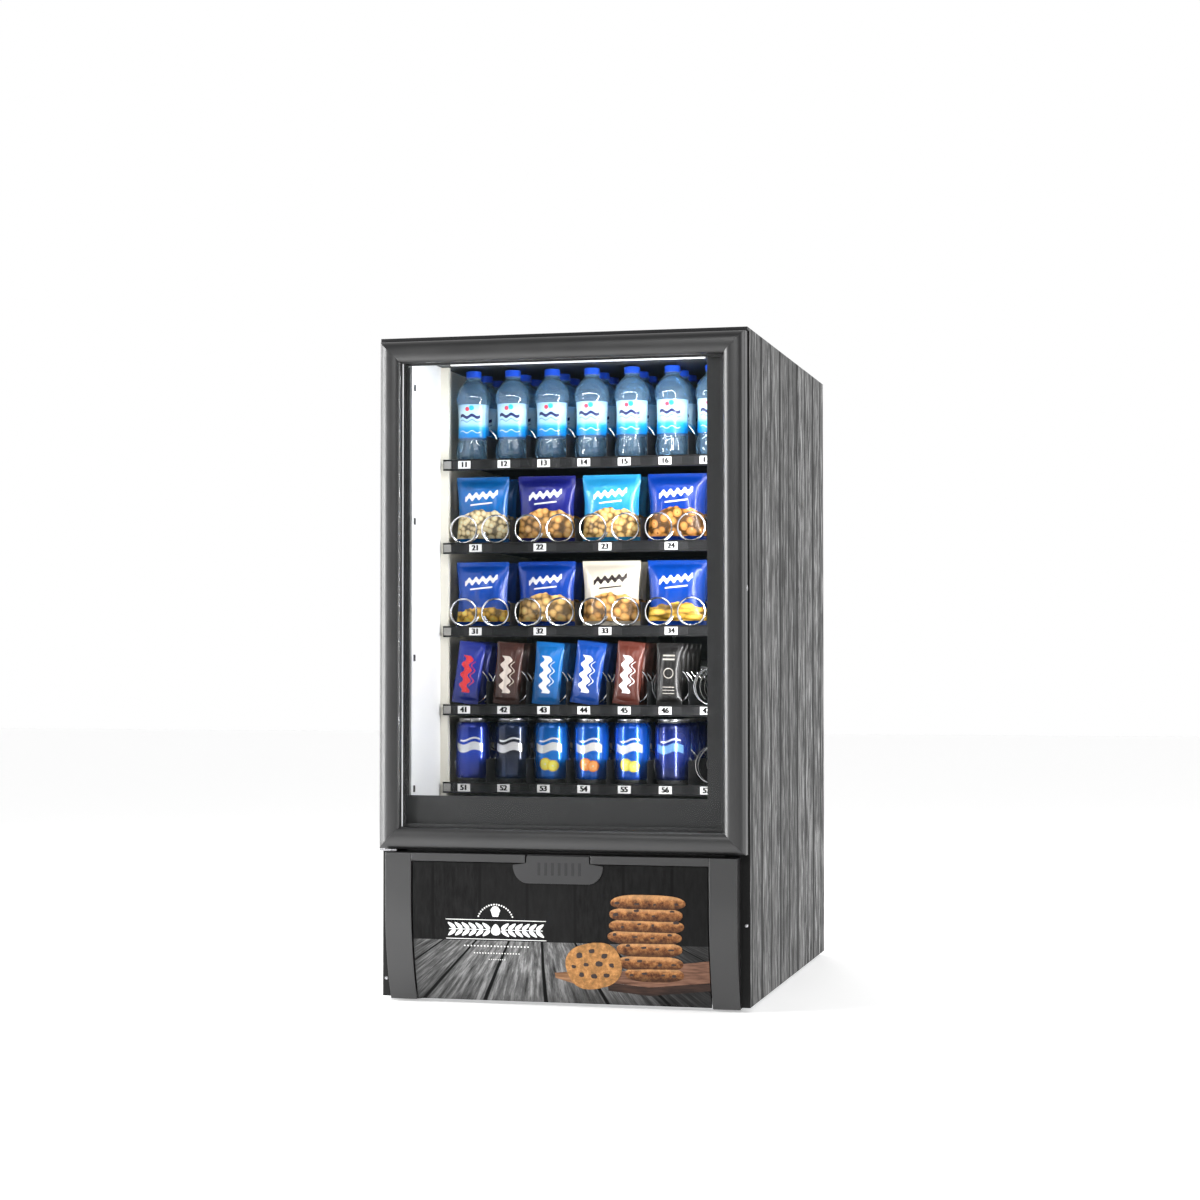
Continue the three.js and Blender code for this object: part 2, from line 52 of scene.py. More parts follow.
FRONT, FACE, BACK = -441, -403, 441
DOOR = {"half": 326, "low": 268, "high": 1158, "rear": -411, "face": 39, "shoulder": -427}
FASCIA = {"half": 312, "post": 48, "low": 4, "high": 263, "rail": 14, "bend": 190, "tuck": 36}
FLAP = {"half": 262, "low": 6, "high": 248, "set_back": 2.5, "thick": 4}
TRAY_FLOORS = [962, 809.5, 657.5, 515, 373.5]
TRAY = {"front": -241, "rear": 300, "strip": 20}
SINGLE = {"count": 7, "first": -225, "pitch": 75, "radius": 33.9, "wire": 1.5}
DOUBLE = {"count": 4, "first": -203.5, "pitch": 121.5, "radius": 25, "wire": 1.8}
# The coils of one channel: name, hand and distance from the channel's middle.
SINGLE["coils"] = [("", 1, 0)]
DOUBLE["coils"] = [("_left", -1, -30), ("_right", 1, 30)]
LAYOUTS = [SINGLE, DOUBLE, DOUBLE, SINGLE, SINGLE]
SPIRAL_FRONTS = [-160, -234, -234, -214, -200]
SPIRAL_TURNS = [6, 10, 10, 13, 7]
SPIRAL_REAR = 289
COUPLER = [(9, SPIRAL_REAR - 2), (9, TRAY["rear"] - 2)]

# ---------- Materials ----------

# The Mix node has one set of sockets per data type. These are its factor and its two colours.
MIX_INPUTS = (0, 6, 7)
MIX_OUTPUT = 2


def rgba(color):
    """A colour or a grey as four numbers. An output stays as it is."""
    if isinstance(color, bpy.types.NodeSocket):
        return color
    return (*color, 1) if isinstance(color, tuple) else (color, color, color, 1)


class Finish:
    """A Principled material, with short ways to wire nodes into it."""

    def __init__(self, name, color, roughness, metallic=0.0, **sockets):
        self.material = bpy.data.materials.new(name)
        self.material.use_nodes = True
        self.tree = self.material.node_tree
        self.shader = self.tree.nodes["Principled BSDF"]
        self.shader.inputs["Base Color"].default_value = (*color, 1)
        self.shader.inputs["Roughness"].default_value = roughness
        self.shader.inputs["Metallic"].default_value = metallic
        for socket, value in sockets.items():
            self.shader.inputs[socket.replace("_", " ")].default_value = value

    def add(self, kind, **values):
        """Adds a node. Names in lower case are its settings, and the others are its sockets."""
        node = self.tree.nodes.new("ShaderNode" + kind)
        for key, value in values.items():
            if key.islower():
                setattr(node, key, value)
            else:
                self.feed(node.inputs[key.replace("_", " ")], value)
        return node

    def feed(self, socket, value):
        """Wires an output into a socket, or sets the socket to a plain value."""
        if isinstance(value, bpy.types.NodeSocket):
            self.tree.links.new(value, socket)
        else:
            socket.default_value = value

    def place(self):
        return self.add("TexCoord").outputs["Object"]

    def axes(self):
        """The X, Y and Z of the object coordinates, in metres."""
        return self.add("SeparateXYZ", Vector=self.place()).outputs

    def math(self, operation, first, second=0.0, clamp=False):
        node = self.add("Math", operation=operation, use_clamp=clamp)
        self.feed(node.inputs[0], first)
        self.feed(node.inputs[1], second)
        return node.outputs[0]

    def plus(self, first, second):
        return self.math("ADD", first, second)

    def minus(self, first, second):
        return self.math("SUBTRACT", first, second)

    def over(self, first, second, clamp=False):
        return self.math("DIVIDE", first, second, clamp)

    def times(self, first, *others):
        for other in others:
            first = self.math("MULTIPLY", first, other)
        return first

    def noise(self, scale, detail=4.0, stretch=(1, 1, 1), roughness=0.55):
        vector = self.add("Mapping", Vector=self.place(), Scale=stretch).outputs[0]
        node = self.add("TexNoise", Vector=vector, Scale=scale, Detail=detail, Roughness=roughness)
        return node.outputs["Fac"]

    def ramp(self, value, *stops):
        """A colour ramp with stops of (place, grey or colour)."""
        node = self.add("ValToRGB", Fac=value)
        elements = node.color_ramp.elements
        while len(elements) < len(stops):
            elements.new(0.5)
        for element, (place, color) in zip(elements, stops):
            element.position = place
            element.color = rgba(color)
        return node.outputs["Color"]

    def mix(self, amount, first, second, blend="MIX"):
        node = self.add("Mix", data_type="RGBA", blend_type=blend)
        factor, color_a, color_b = (node.inputs[i] for i in MIX_INPUTS)
        self.feed(factor, amount)
        self.feed(color_a, rgba(first))
        self.feed(color_b, rgba(second))
        return node.outputs[MIX_OUTPUT]

    def front(self):
        """1 on the half that faces -Y, and 0 behind."""
        return self.math("LESS_THAN", self.axes()["Y"], 0.0)

    def wave(self, along, rate, height):
        return self.times(self.math("SINE", self.times(along, rate)), height)

    def band(self, value, low, high, soft=0.0004):
        """1 between two values and 0 outside them, with soft edges."""
        rise = self.over(self.minus(value, low), soft, clamp=True)
        fall = self.over(self.minus(high, value), soft, clamp=True)
        return self.times(rise, fall)

    def disc(self, centre, radius, soft=0.0004, squash=1.0):
        """1 inside a disc in the XZ plane. Squash divides its height."""
        x, _, z = self.axes()
        across = self.minus(x, centre[0])
        up = self.times(self.minus(z, centre[1]), squash)
        square = self.plus(self.math("POWER", across, 2.0), self.math("POWER", up, 2.0))
        inside = self.minus(radius, self.math("SQRT", square))
        return self.over(inside, soft, clamp=True)

    def color(self, output):
        self.tree.links.new(output, self.shader.inputs["Base Color"])
        return self

    def roughness(self, output, low, high):
        spread = self.add("MapRange", Value=output, To_Min=low, To_Max=high).outputs[0]
        self.tree.links.new(spread, self.shader.inputs["Roughness"])
        return self

    def bump(self, output, depth, strength=1.0):
        node = self.add("Bump", Height=output, Distance=depth, Strength=strength)
        self.tree.links.new(node.outputs[0], self.shader.inputs["Normal"])
        return self


def speckled(name, color, roughness, metallic=0.0, grain=900, depth=0.00004, vary=0.18, **sockets):
    """A painted or moulded surface: fine grain, faint patches and uneven gloss."""
    finish = Finish(name, color, roughness, metallic, **sockets)
    patches = finish.noise(6, 3)
    darker = tuple(c * (1 - vary) for c in color)
    lighter = tuple(min(1, c * (1 + vary)) for c in color)
    finish.color(finish.mix(patches, darker, lighter))
    finish.roughness(finish.noise(14, 5), roughness - 0.07, roughness + 0.07)
    return finish.bump(finish.noise(grain, 2), depth).material


def brushed(name, color, roughness, stretch, metallic=1.0):
    """Sheet or wire with fine lines along its longest direction."""
    finish = Finish(name, color, roughness, metallic)
    lines = finish.noise(400, 3, stretch)
    finish.color(finish.mix(lines, tuple(c * 0.8 for c in color), color))
    finish.roughness(lines, roughness - 0.08, roughness + 0.12)
    return finish.bump(lines, 0.00002).material


EDGE = 1.5  # the panels' front and rear edges are dark


def wood_decor():
    """Grey weathered planks that run up the machine, with dark joints between them."""
    finish = Finish("wood_decor", (0.2, 0.2, 0.2), 0.6, Specular_IOR_Level=0.25)
    _, y, z = finish.axes()
    pitch, offset = 0.195, 0.286
    across = finish.over(finish.plus(y, offset), pitch)
    index = finish.math("FLOOR", across)
    within = finish.minus(across, index)
    shift = finish.add("TexWhiteNoise", noise_dimensions="1D", W=index).outputs["Value"]
    lifted = finish.plus(z, finish.times(shift, 7.0))
    grain_place = finish.add("CombineXYZ", X=finish.times(shift, 3.0), Y=y, Z=lifted).outputs[0]

    def streaks(across_scale, along_scale, detail, roughness=0.6):
        stretch = (1, across_scale, along_scale)
        vector = finish.add("Mapping", Vector=grain_place, Scale=stretch).outputs[0]
        noise = finish.add("TexNoise", Vector=vector, Scale=1.0, Detail=detail, Roughness=roughness)
        return noise.outputs["Fac"]

    fibre = streaks(120, 14, 5, 0.68)
    cracks = streaks(95, 9, 5, 0.7)
    broad = streaks(16, 1.6, 3)
    tone = finish.ramp(fibre, (0.36, 0.004), (0.45, 0.05), (0.54, 0.17), (0.66, 0.46))
    tone = finish.mix(finish.ramp(broad, (0.38, 0.0), (0.66, 0.5)), tone, (0.17, 0.17, 0.168))
    tone = finish.mix(finish.ramp(cracks, (0.4, 1.0), (0.45, 0.0)), tone, 0.006)
    plank = finish.plus(0.75, finish.times(shift, 0.45))
    grey = finish.add("CombineXYZ", X=plank, Y=plank, Z=plank).outputs[0]
    tone = finish.mix(1.0, tone, grey, "MULTIPLY")
    joint = finish.minus(1.0, finish.band(within, 0.046, 0.954, 0.004))
    middle = finish.band(within, 0.47, 0.53, 0.006)
    tone = finish.mix(finish.math("MAXIMUM", joint, middle), tone, 0.002)
    finish.color(finish.mix(finish.band(y, (FACE + EDGE) * MM, (BACK - EDGE) * MM), 0.006, tone))
    finish.roughness(fibre, 0.75, 0.5)
    height = finish.minus(fibre, finish.times(joint, 2.0))
    return finish.bump(height, 0.0006, 0.7).material


def see_through(name, color, alpha, roughness):
    finish = Finish(name, color, roughness, Alpha=alpha, IOR=1.5)
    smears = finish.noise(5, 4)
    return finish.roughness(smears, roughness, roughness + 0.05).material


def glowing(name, color, strength):
    finish = Finish(name, color, 0.4, Emission_Color=(*color, 1), Emission_Strength=strength)
    return finish.bump(finish.noise(500, 2), 0.00003).material


charcoal = speckled("charcoal_powder_coat", (0.015, 0.015, 0.0155), 0.34, Specular_IOR_Level=0.8)
charcoal_inner = speckled("mask_satin", (0.032, 0.032, 0.033), 0.55, Specular_IOR_Level=0.3)
handle_plastic = speckled("handle_plastic", (0.026, 0.026, 0.027), 0.42, grain=1400, depth=0.00006)
black_paint = speckled("black_satin_paint", (0.009, 0.009, 0.01), 0.45, Specular_IOR_Level=0.3)
black_plastic = speckled("black_plastic", (0.01, 0.01, 0.011), 0.5, grain=1500)
bin_plastic = speckled("bin_plastic", (0.014, 0.014, 0.015), 0.55, grain=1200)
white_skin = speckled("white_liner", (0.86, 0.87, 0.88), 0.42, vary=0.03)
dark_skin = speckled("dark_liner", (0.05, 0.055, 0.06), 0.5, vary=0.2)
cream_paint = speckled("cream_paint", (0.78, 0.75, 0.66), 0.45, vary=0.05)
label_white = speckled("label_white", (0.9, 0.9, 0.9), 0.5, vary=0.03)
digit_black = speckled("digit_black", (0.01, 0.01, 0.01), 0.6)
holder_grey = speckled("holder_grey", (0.022, 0.022, 0.023), 0.4, Specular_IOR_Level=0.3)
catch_grey = brushed("catch_grey", (0.42, 0.41, 0.39), 0.4, (1, 1, 8))
motor_white = speckled("motor_white", (0.75, 0.75, 0.72), 0.5, vary=0.05)
rubber_black = speckled("rubber_black", (0.02, 0.02, 0.02), 0.8, grain=700, depth=0.0001)
zinc = brushed("zinc_sheet", (0.56, 0.57, 0.58), 0.42, (1, 1, 0.1))
bright_wire = brushed("bright_wire", (0.86, 0.87, 0.9), 0.16, (1, 0.1, 1))
bright_steel = brushed("bright_steel", (0.62, 0.62, 0.64), 0.25, (1, 1, 0.1))
aluminium = brushed("bright_aluminium", (0.85, 0.86, 0.87), 0.28, (1, 1, 0.05))
fins = brushed("fin_aluminium", (0.62, 0.63, 0.64), 0.4, (12, 1, 0.1))
wood = wood_decor()
pane = see_through("clear_pane", (0.01, 0.014, 0.013), 0.05, 0.01)
# A glowing line that paints the highlight on the glass spacer; it is no lamp.
highlight_glow = glowing("glass_edge_painted_highlight", (0.9, 0.91, 0.92), 0.45)
led_white = glowing("led_white", (0.95, 0.98, 1.0), 2.5)

# ---------- Meshes ----------


def mesh_of(name, bm, materials, smooth=35):
    """Turns a bmesh in millimetres into a mesh in metres."""
    mesh = bpy.data.meshes.new(name)
    bmesh.ops.recalc_face_normals(bm, faces=bm.faces)
    bm.to_mesh(mesh)
    bm.free()
    for vertex in mesh.vertices:
        vertex.co *= MM
    mesh.shade_smooth()
    mesh.set_sharp_from_angle(angle=radians(smooth))
    for material in materials:
        mesh.materials.append(material)
    return mesh


def placed(name, data):
    made = bpy.data.objects.new(name, data)
    bpy.context.collection.objects.link(made)
    return made


def from_mesh(name, mesh, body, place=(0, 0, 0)):
    piece = placed(name, mesh)
    piece.location = Vector(place) * MM
    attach(piece, body)
    return piece


def finished(name, bm, material, body, smooth=35):
    """Turns a bmesh in millimetres into a piece that rides on a body."""
    return from_mesh(name, mesh_of(name, bm, [material], smooth), body)


def bevel(piece, width, segments=2, angle=40):
    modifier = piece.modifiers.new("edges", "BEVEL")
    modifier.width = width * MM
    modifier.segments = segments
    modifier.limit_method = "ANGLE"
    modifier.angle_limit = radians(angle)
    modifier.harden_normals = True
    return piece


def loft(bm, rings, caps=True, closed=False):
    """Joins rings of points into a skin. With closed, the last ring joins the first."""
    rows = [[bm.verts.new(point) for point in ring] for ring in rings]
    pairs = list(zip(rows, rows[1:]))
    if closed:
        pairs.append((rows[-1], rows[0]))
    for near, far in pairs:
        for i in range(len(near)):
            j = (i + 1) % len(near)
            bm.faces.new((near[i], near[j], far[j], far[i]))
    if caps and not closed:
        bm.faces.new(rows[0][::-1])
        bm.faces.new(rows[-1])
    return rows


def span(middle, half):
    return (middle - half, middle + half)


def slab(bm, x, y, z):
    """A box between two limits along each axis."""
    corners = [(x[0], y[0]), (x[1], y[0]), (x[1], y[1]), (x[0], y[1])]
    loft(bm, [[(*corner, height) for corner in corners] for height in z])


def slabs(name, boxes, material, body, edge=0.4):
    bm = bmesh.new()
    for box in boxes:
        slab(bm, *box)
    return bevel(finished(name, bm, material, body), edge)


def around(sides):
    """Evenly spaced angles round a circle."""
    return [2 * pi * i / sides for i in range(sides)]


def lathe(bm, profile, sides=32, shape=None, centre=(0, 0), axis="z"):
    """Turns a profile of (radius, height) round the Y or Z axis. Shape may change the radius."""
    rings = []
    for radius, height in profile:
        ring = []
        for angle in around(sides):
            reach = shape(radius, height, angle) if shape else radius
            a, b = centre[0] + reach * cos(angle), centre[1] + reach * sin(angle)
            ring.append((a, b, height) if axis == "z" else (a, height, b))
        rings.append(ring)
    loft(bm, rings)


def rounded(value, power):
    """Squares off a circle, by a power of its sine or cosine that keeps the sign."""
    return copysign(abs(value) ** power, value)


# ---------- Cabinet finishes ----------


def dress(material, *names):
    for name in names:
        mesh = NODES[name].data
        mesh.materials.clear()
        mesh.materials.append(material)


dress(wood, "side_panel_left", "side_panel_right")
dress(black_paint, "top_panel", "compressor", "tray_1", "tray_2", "tray_3", "tray_4", "tray_5")
dress(zinc, "rear_panel", "rear_grille", "base_tray", "control_box")
dress(charcoal, "front_crossbar")
dress(rubber_black, "foot_front_left", "foot_front_right", "foot_rear_left", "foot_rear_right")
dress(rubber_black, "door_gasket")
dress(white_skin, "wall_left", "wall_right", "insulated_deck")
dress(dark_skin, "wall_rear", "ceiling")
dress(cream_paint, "tray_rack_left", "tray_rack_right")
dress(led_white, "led_bar")
dress(pane, "glass_outer", "glass_inner")
dress(aluminium, "glass_spacer")
dress(fins, "condenser", "evaporator")
dress(charcoal_inner, "door_mask")
dress(bright_steel, "hinge_pin_top", "hinge_bracket_bottom", "latch_hook", "lock_barrel")
dress(bin_plastic, "delivery_bin", "security_flap")
dress(motor_white, *[f"tray_{n}_motors" for n in range(1, 6)])
dress(black_plastic, "condenser_fan", "evaporator_fan")

# ---------- Door frame ----------

MITRE = 0.12  # the open joint between two rails


def rail_profile(steps=28):
    """The rail's section as (inset from the outer edge, y): a full, rounded nose and a glazing lip."""
    width, shoulder = DOOR["face"], DOOR["shoulder"]
    points = [(0, DOOR["rear"])]
    for i in range(steps + 1):
        angle = pi * i / steps
        across = -rounded(cos(angle), 0.82)
        out = sin(angle) ** 0.9
        points.append((width / 2 * (1 + across), shoulder + (FRONT - shoulder) * out))
    points += [(width, shoulder + 2), (width - 9, shoulder + 2), (width - 9, DOOR["rear"])]
    return points


def door_rail(side):
    """One mitred rail. Side is left, right, top or bottom."""
    bm = bmesh.new()
    rings = []
    for end in (-1, 1):
        ring = []
        for inset, y in rail_profile():
            if side in ("left", "right"):
                x = (DOOR["half"] - inset) * (-1 if side == "left" else 1)
                z = DOOR["low"] + inset + MITRE if end < 0 else DOOR["high"] - inset - MITRE
            else:
                x = end * (DOOR["half"] - inset - MITRE)
                z = DOOR["high"] - inset if side == "top" else DOOR["low"] + inset
            ring.append((x, y, z))
        rings.append(ring)
    loft(bm, rings)
    piece = finished(f"frame_rail_{side}", bm, charcoal, "door", 30)
    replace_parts(piece, f"door_rail_{side}")


for side in ("left", "right", "top", "bottom"):
    door_rail(side)

# The glass unit's spacer, painted in light and shade: a glowing line of painted highlight at its left and
# top, and satin black of painted shade everywhere else.
SPACER = {"outer": 294.5, "inner": 281.5, "rise": 119, "gap": 0.1}
SPACER |= {"line": 5, "line_in": 4.5, "top_line": 2.2}
SPACER_Y = (-421.4, -415.4)
# A dark bar of painted shade in the gap inside the bright line, from the lower mask up.
GAP_SHADE = {"x": (-281.2, -275), "y": (-420.5, -417), "low": 361}
middle_z = (DOOR["low"] + DOOR["high"]) / 2
low_z, high_z = span(middle_z, SPACER["outer"] + SPACER["rise"])
spacer_wide = SPACER["outer"] - SPACER["inner"]
top_z = high_z - spacer_wide
line_x = (SPACER["inner"] + SPACER["line_in"], SPACER["inner"] + SPACER["line_in"] + SPACER["line"])
between = span(0, SPACER["inner"] - SPACER["gap"])
# Painted highlight: glowing bars at the spacer's left and top.
highlight_bars = slabs(
    "spacer_painted_highlight",
    [
        ((-line_x[1], -line_x[0]), SPACER_Y, (low_z, high_z)),
        ((-200, 255), SPACER_Y, (top_z, top_z + SPACER["top_line"])),
    ],
    highlight_glow, "door", 0.3,
)
# Painted shade: dark bars on the rest of the spacer, and the dark bar in the gap inside the bright line.
shade_bars = slabs(
    "spacer_painted_shade",
    [
        ((-SPACER["outer"], -line_x[1] - SPACER["gap"]), SPACER_Y, (low_z, high_z)),
        ((-line_x[0] + SPACER["gap"], -SPACER["inner"]), SPACER_Y, (low_z, high_z)),
        ((SPACER["inner"], SPACER["outer"]), SPACER_Y, (low_z, high_z)),
        (between, SPACER_Y, (low_z, low_z + spacer_wide)),
        (between, SPACER_Y, (top_z + SPACER["top_line"] + SPACER["gap"], high_z)),
        (GAP_SHADE["x"], GAP_SHADE["y"], (GAP_SHADE["low"], top_z - 2 * SPACER["gap"])),
    ],
    charcoal_inner, "door", 0.3,
)
for bars in (highlight_bars, shade_bars):
    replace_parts(bars, "glass_spacer")

# ---------- Fascia, flap and handle ----------

TUCK_RADIUS = (FASCIA["bend"] ** 2 + FASCIA["tuck"] ** 2) / (2 * FASCIA["tuck"])


def tucked(z, recess=0.0):
    """The y of the curved front at a height, set back by recess."""
    if z >= FASCIA["bend"]:
        return FRONT + recess
    radius = TUCK_RADIUS - recess
    return FRONT + TUCK_RADIUS - sqrt(radius**2 - (FASCIA["bend"] - z) ** 2)


def heights(low, high, steps):
    return [low + (high - low) * i / steps for i in range(steps + 1)]


FASCIA_REAR = FACE - 0.5
NOTCH = {"half": 58, "deep": 13}


def fascia_post(name, x):
    profile = [(tucked(z), z) for z in heights(FASCIA["low"], FASCIA["high"], 40)]
    profile += [(FASCIA_REAR, FASCIA["high"]), (FASCIA_REAR, FASCIA["low"])]
    bm = bmesh.new()
    loft(bm, [[(at, y, z) for y, z in profile] for at in x])
    return bevel(finished(name, bm, charcoal, "cabinet"), 1.2, 3)


outer, inner = FASCIA["half"], FASCIA["half"] - FASCIA["post"]
rail_z = (FASCIA["high"] - FASCIA["rail"], FASCIA["high"])
fascia_left = fascia_post("fascia_post_left", (-outer, -inner))
fascia_right = fascia_post("fascia_post_right", (inner, outer))
fascia_rail = slabs(
    "fascia_rail",
    [
        ((-inner + 0.1, -NOTCH["half"]), (FRONT, FASCIA_REAR), rail_z),
        ((NOTCH["half"], inner - 0.1), (FRONT, FASCIA_REAR), rail_z),
        (span(0, NOTCH["half"]), (FRONT + NOTCH["deep"], FASCIA_REAR), rail_z),
    ],
    charcoal, "cabinet", 0.8,
)
for piece in (fascia_left, fascia_right, fascia_rail):
    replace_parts(piece, "fascia")


def flap_panel():
    bm = bmesh.new()
    levels = heights(FLAP["low"], FLAP["high"], 48)
    outside = [(tucked(z, FLAP["set_back"]), z) for z in levels]
    inside = [(tucked(z, FLAP["set_back"] + FLAP["thick"]), z) for z in reversed(levels)]
    loft(bm, [[(x, y, z) for y, z in outside + inside] for x in span(0, FLAP["half"])])
    return bm


def flap_print():
    """A dark printed picture: upright boards behind, and a table of boards running to the front."""
    finish = Finish("flap_print", (0.03, 0.03, 0.03), 0.45, Specular_IOR_Level=0.12)
    x, _, z = finish.axes()
    horizon, vanish, pitch = 0.113, 0.235, 0.085
    wall_across = finish.over(finish.plus(x, 0.31), pitch)
    depth = finish.over(0.12, finish.minus(vanish, z))
    table_across = finish.over(finish.times(finish.plus(x, 0.03), depth), 0.058)
    is_wall = finish.math("GREATER_THAN", z, horizon)

    def boards(across, along, seam):
        index = finish.math("FLOOR", across)
        within = finish.minus(across, index)
        shade = finish.add("TexWhiteNoise", noise_dimensions="1D", W=index).outputs["Value"]
        vector = finish.add("CombineXYZ", X=finish.times(across, 5.0), Y=shade, Z=along).outputs[0]
        noise = finish.add("TexNoise", Vector=vector, Scale=2.2, Detail=7.0, Roughness=0.68)
        edge = finish.minus(1.0, finish.band(within, seam, 1 - seam, 0.02))
        return shade, noise.outputs["Fac"], edge

    wall_shade, wall_grain, wall_edge = boards(wall_across, finish.times(z, 14.0), 0.02)
    table_shade, table_grain, table_edge = boards(table_across, finish.times(depth, 3.0), 0.025)
    wall = finish.ramp(wall_grain, (0.35, 0.0), (0.8, 0.014))
    wall = finish.mix(finish.times(wall_shade, 0.5), wall, 0.006)
    wall = finish.mix(wall_edge, wall, 0.001)
    table = finish.ramp(table_grain, (0.3, 0.018), (0.5, 0.15), (0.68, 0.42))
    table = finish.mix(finish.times(table_shade, 0.3), table, 0.03)
    table = finish.mix(table_edge, table, 0.0)
    glow = finish.disc((-0.06, 0.07), 0.28, 0.26, 2.0)
    table = finish.mix(glow, finish.mix(0.86, table, 0.003), table)
    backdrop = finish.disc((-0.02, 0.16), 0.22, 0.25, 1.6)
    wall = finish.mix(backdrop, wall, finish.mix(0.25, wall, 0.02))
    return finish.color(finish.mix(is_wall, table, wall)).material


flap = bevel(finished("flap_front", flap_panel(), flap_print(), "flap"), 0.8, 2)
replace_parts(flap, "flap_panel")


def on_flap(x, z, lift):
    return (x, tucked(z, FLAP["set_back"]) - lift, z)


def turned(centre, across, up, lean):
    """A point beside a centre, turned about it by an angle."""
    x = centre[0] + across * cos(lean) - up * sin(lean)
    return x, centre[1] + across * sin(lean) + up * cos(lean)


def printed(name, outline, material, lift, step=5):
    """A printed shape that follows the curved flap, from an outline of (x, z)."""
    bm = bmesh.new()
    bm.faces.new([bm.verts.new((x, 0, z)) for x, z in outline])
    levels = [z for _, z in outline]
    for level in range(ceil(min(levels) / step), int(max(levels) / step) + 1):
        everything = bm.verts[:] + bm.edges[:] + bm.faces[:]
        bmesh.ops.bisect_plane(bm, geom=everything, plane_co=(0, 0, level * step), plane_no=(0, 0, 1))
    for vertex in bm.verts:
        vertex.co = on_flap(vertex.co.x, vertex.co.z, lift)
    return finished(name, bm, material, "flap", 60)


def domed(name, centre, reach, material, relief, base, sides=40, rings=7, wobble=0.03, lean=0.0, seed=1):
    """A low printed relief with a round or oval outline, fuller in the middle."""
    dice = random.Random(seed)
    lumps = [(dice.uniform(0, 6.28), dice.uniform(0.3, 1)) for _ in range(5)]
    bm = bmesh.new()

    def edge(angle):
        waves = sum(sin(k * angle + phase) * size / k for k, (phase, size) in enumerate(lumps, 2))
        return 1 + wobble * waves

    def ring(share, lift):
        points = []
        for angle in around(sides):
            dx = reach[0] * share * edge(angle) * rounded(cos(angle), 0.8)
            dz = reach[1] * share * edge(angle) * rounded(sin(angle), 0.8)
            points.append(on_flap(*turned(centre, dx, dz, lean), lift))
        return points

    shares = [cos(0.5 * pi * i / rings) for i in range(rings)]
    levels = [base + relief * sin(0.5 * pi * i / rings) for i in range(rings)]
    loft(bm, [ring(1, 0.02)] + [ring(share, level) for share, level in zip(shares, levels)])
    return finished(name, bm, material, "flap", 60)


DOUGH = [(0.36, (0.05, 0.014, 0.004)), (0.5, (0.26, 0.09, 0.024)), (0.66, (0.55, 0.25, 0.08))]


def cookie_print(name, light_at, shaded=True):
    """Baked dough: pale top and browned rim. The dark chips are separate pieces."""
    finish = Finish(name, (0.5, 0.27, 0.1), 0.55, Specular_IOR_Level=0.25)
    crumbs = finish.noise(110, 5, roughness=0.7)
    dough = finish.ramp(crumbs, *DOUGH)
    _, _, z = finish.axes()
    if shaded:
        lit = finish.over(finish.minus(z, light_at - 0.009), 0.015, clamp=True)
        dough = finish.mix(lit, finish.mix(0.85, dough, (0.02, 0.007, 0.003)), dough)
        rim = finish.ramp(finish.minus(z, light_at), (0.003, 0.0), (0.008, 0.5))
        dough = finish.mix(rim, dough, (0.6, 0.34, 0.15))
    else:
        dough = finish.mix(0.3, dough, (0.6, 0.35, 0.12))
    return finish.color(dough).bump(crumbs, 0.0006, 0.6).material


def board_print(name, dark, pale):
    finish = Finish(name, pale, 0.45, Specular_IOR_Level=0.25)
    grain = finish.noise(30, 6, (1, 1, 9))
    return finish.color(finish.ramp(grain, (0.3, dark), (0.7, pale))).material


# Dark and pale colour, and lift, of each face of the board under the biscuits.
BOARDS = {
    "near": ((0.12, 0.05, 0.02), (0.34, 0.18, 0.09), 0.16),
    "top": ((0.07, 0.03, 0.018), (0.24, 0.12, 0.075), 0.12),
    "edge": ((0.008, 0.004, 0.003), (0.05, 0.024, 0.016), 0.1),
}
OUTLINES = [
    [(-10, 60), (-9, 51), (22, 42), (80, 44), (80, 58), (30, 64)],
    [(83, 46), (155, 39), (262, 50), (262, 88), (215, 82), (83, 62)],
    [(83, 45.6), (83, 31), (155, 24), (262, 36), (262, 49.6), (155, 38.6)],
]
for (kind, (dark, pale, lift)), outline in zip(BOARDS.items(), OUTLINES):
    printed(f"print_board_{kind}", outline, board_print(f"board_print_{kind}", dark, pale), lift)

# The stack from the bottom: x, z and half width of each biscuit.
STACK = [
    (166, 62, 52), (158, 81, 59), (159, 105, 58), (151, 126, 64),
    (155, 145, 65), (155, 164, 65), (158, 185, 66),
]
for number, (x, z, reach) in enumerate(STACK):
    dough = cookie_print(f"cookie_dough_{number}", z * MM)
    base = 0.2 + 0.08 * number
    domed(f"print_cookie_{number}", (x, z), (reach, 13.5), dough, 1.0, base, wobble=0.035, seed=number)
leaning_dough = cookie_print("cookie_dough_face", 0.074, False)
domed("print_cookie_leaning", (60, 74), (49, 40), leaning_dough, 0.7, 0.9, lean=0.25, seed=9)

chocolate = speckled("print_chocolate", (0.022, 0.009, 0.006), 0.35, grain=300, depth=0.0002)
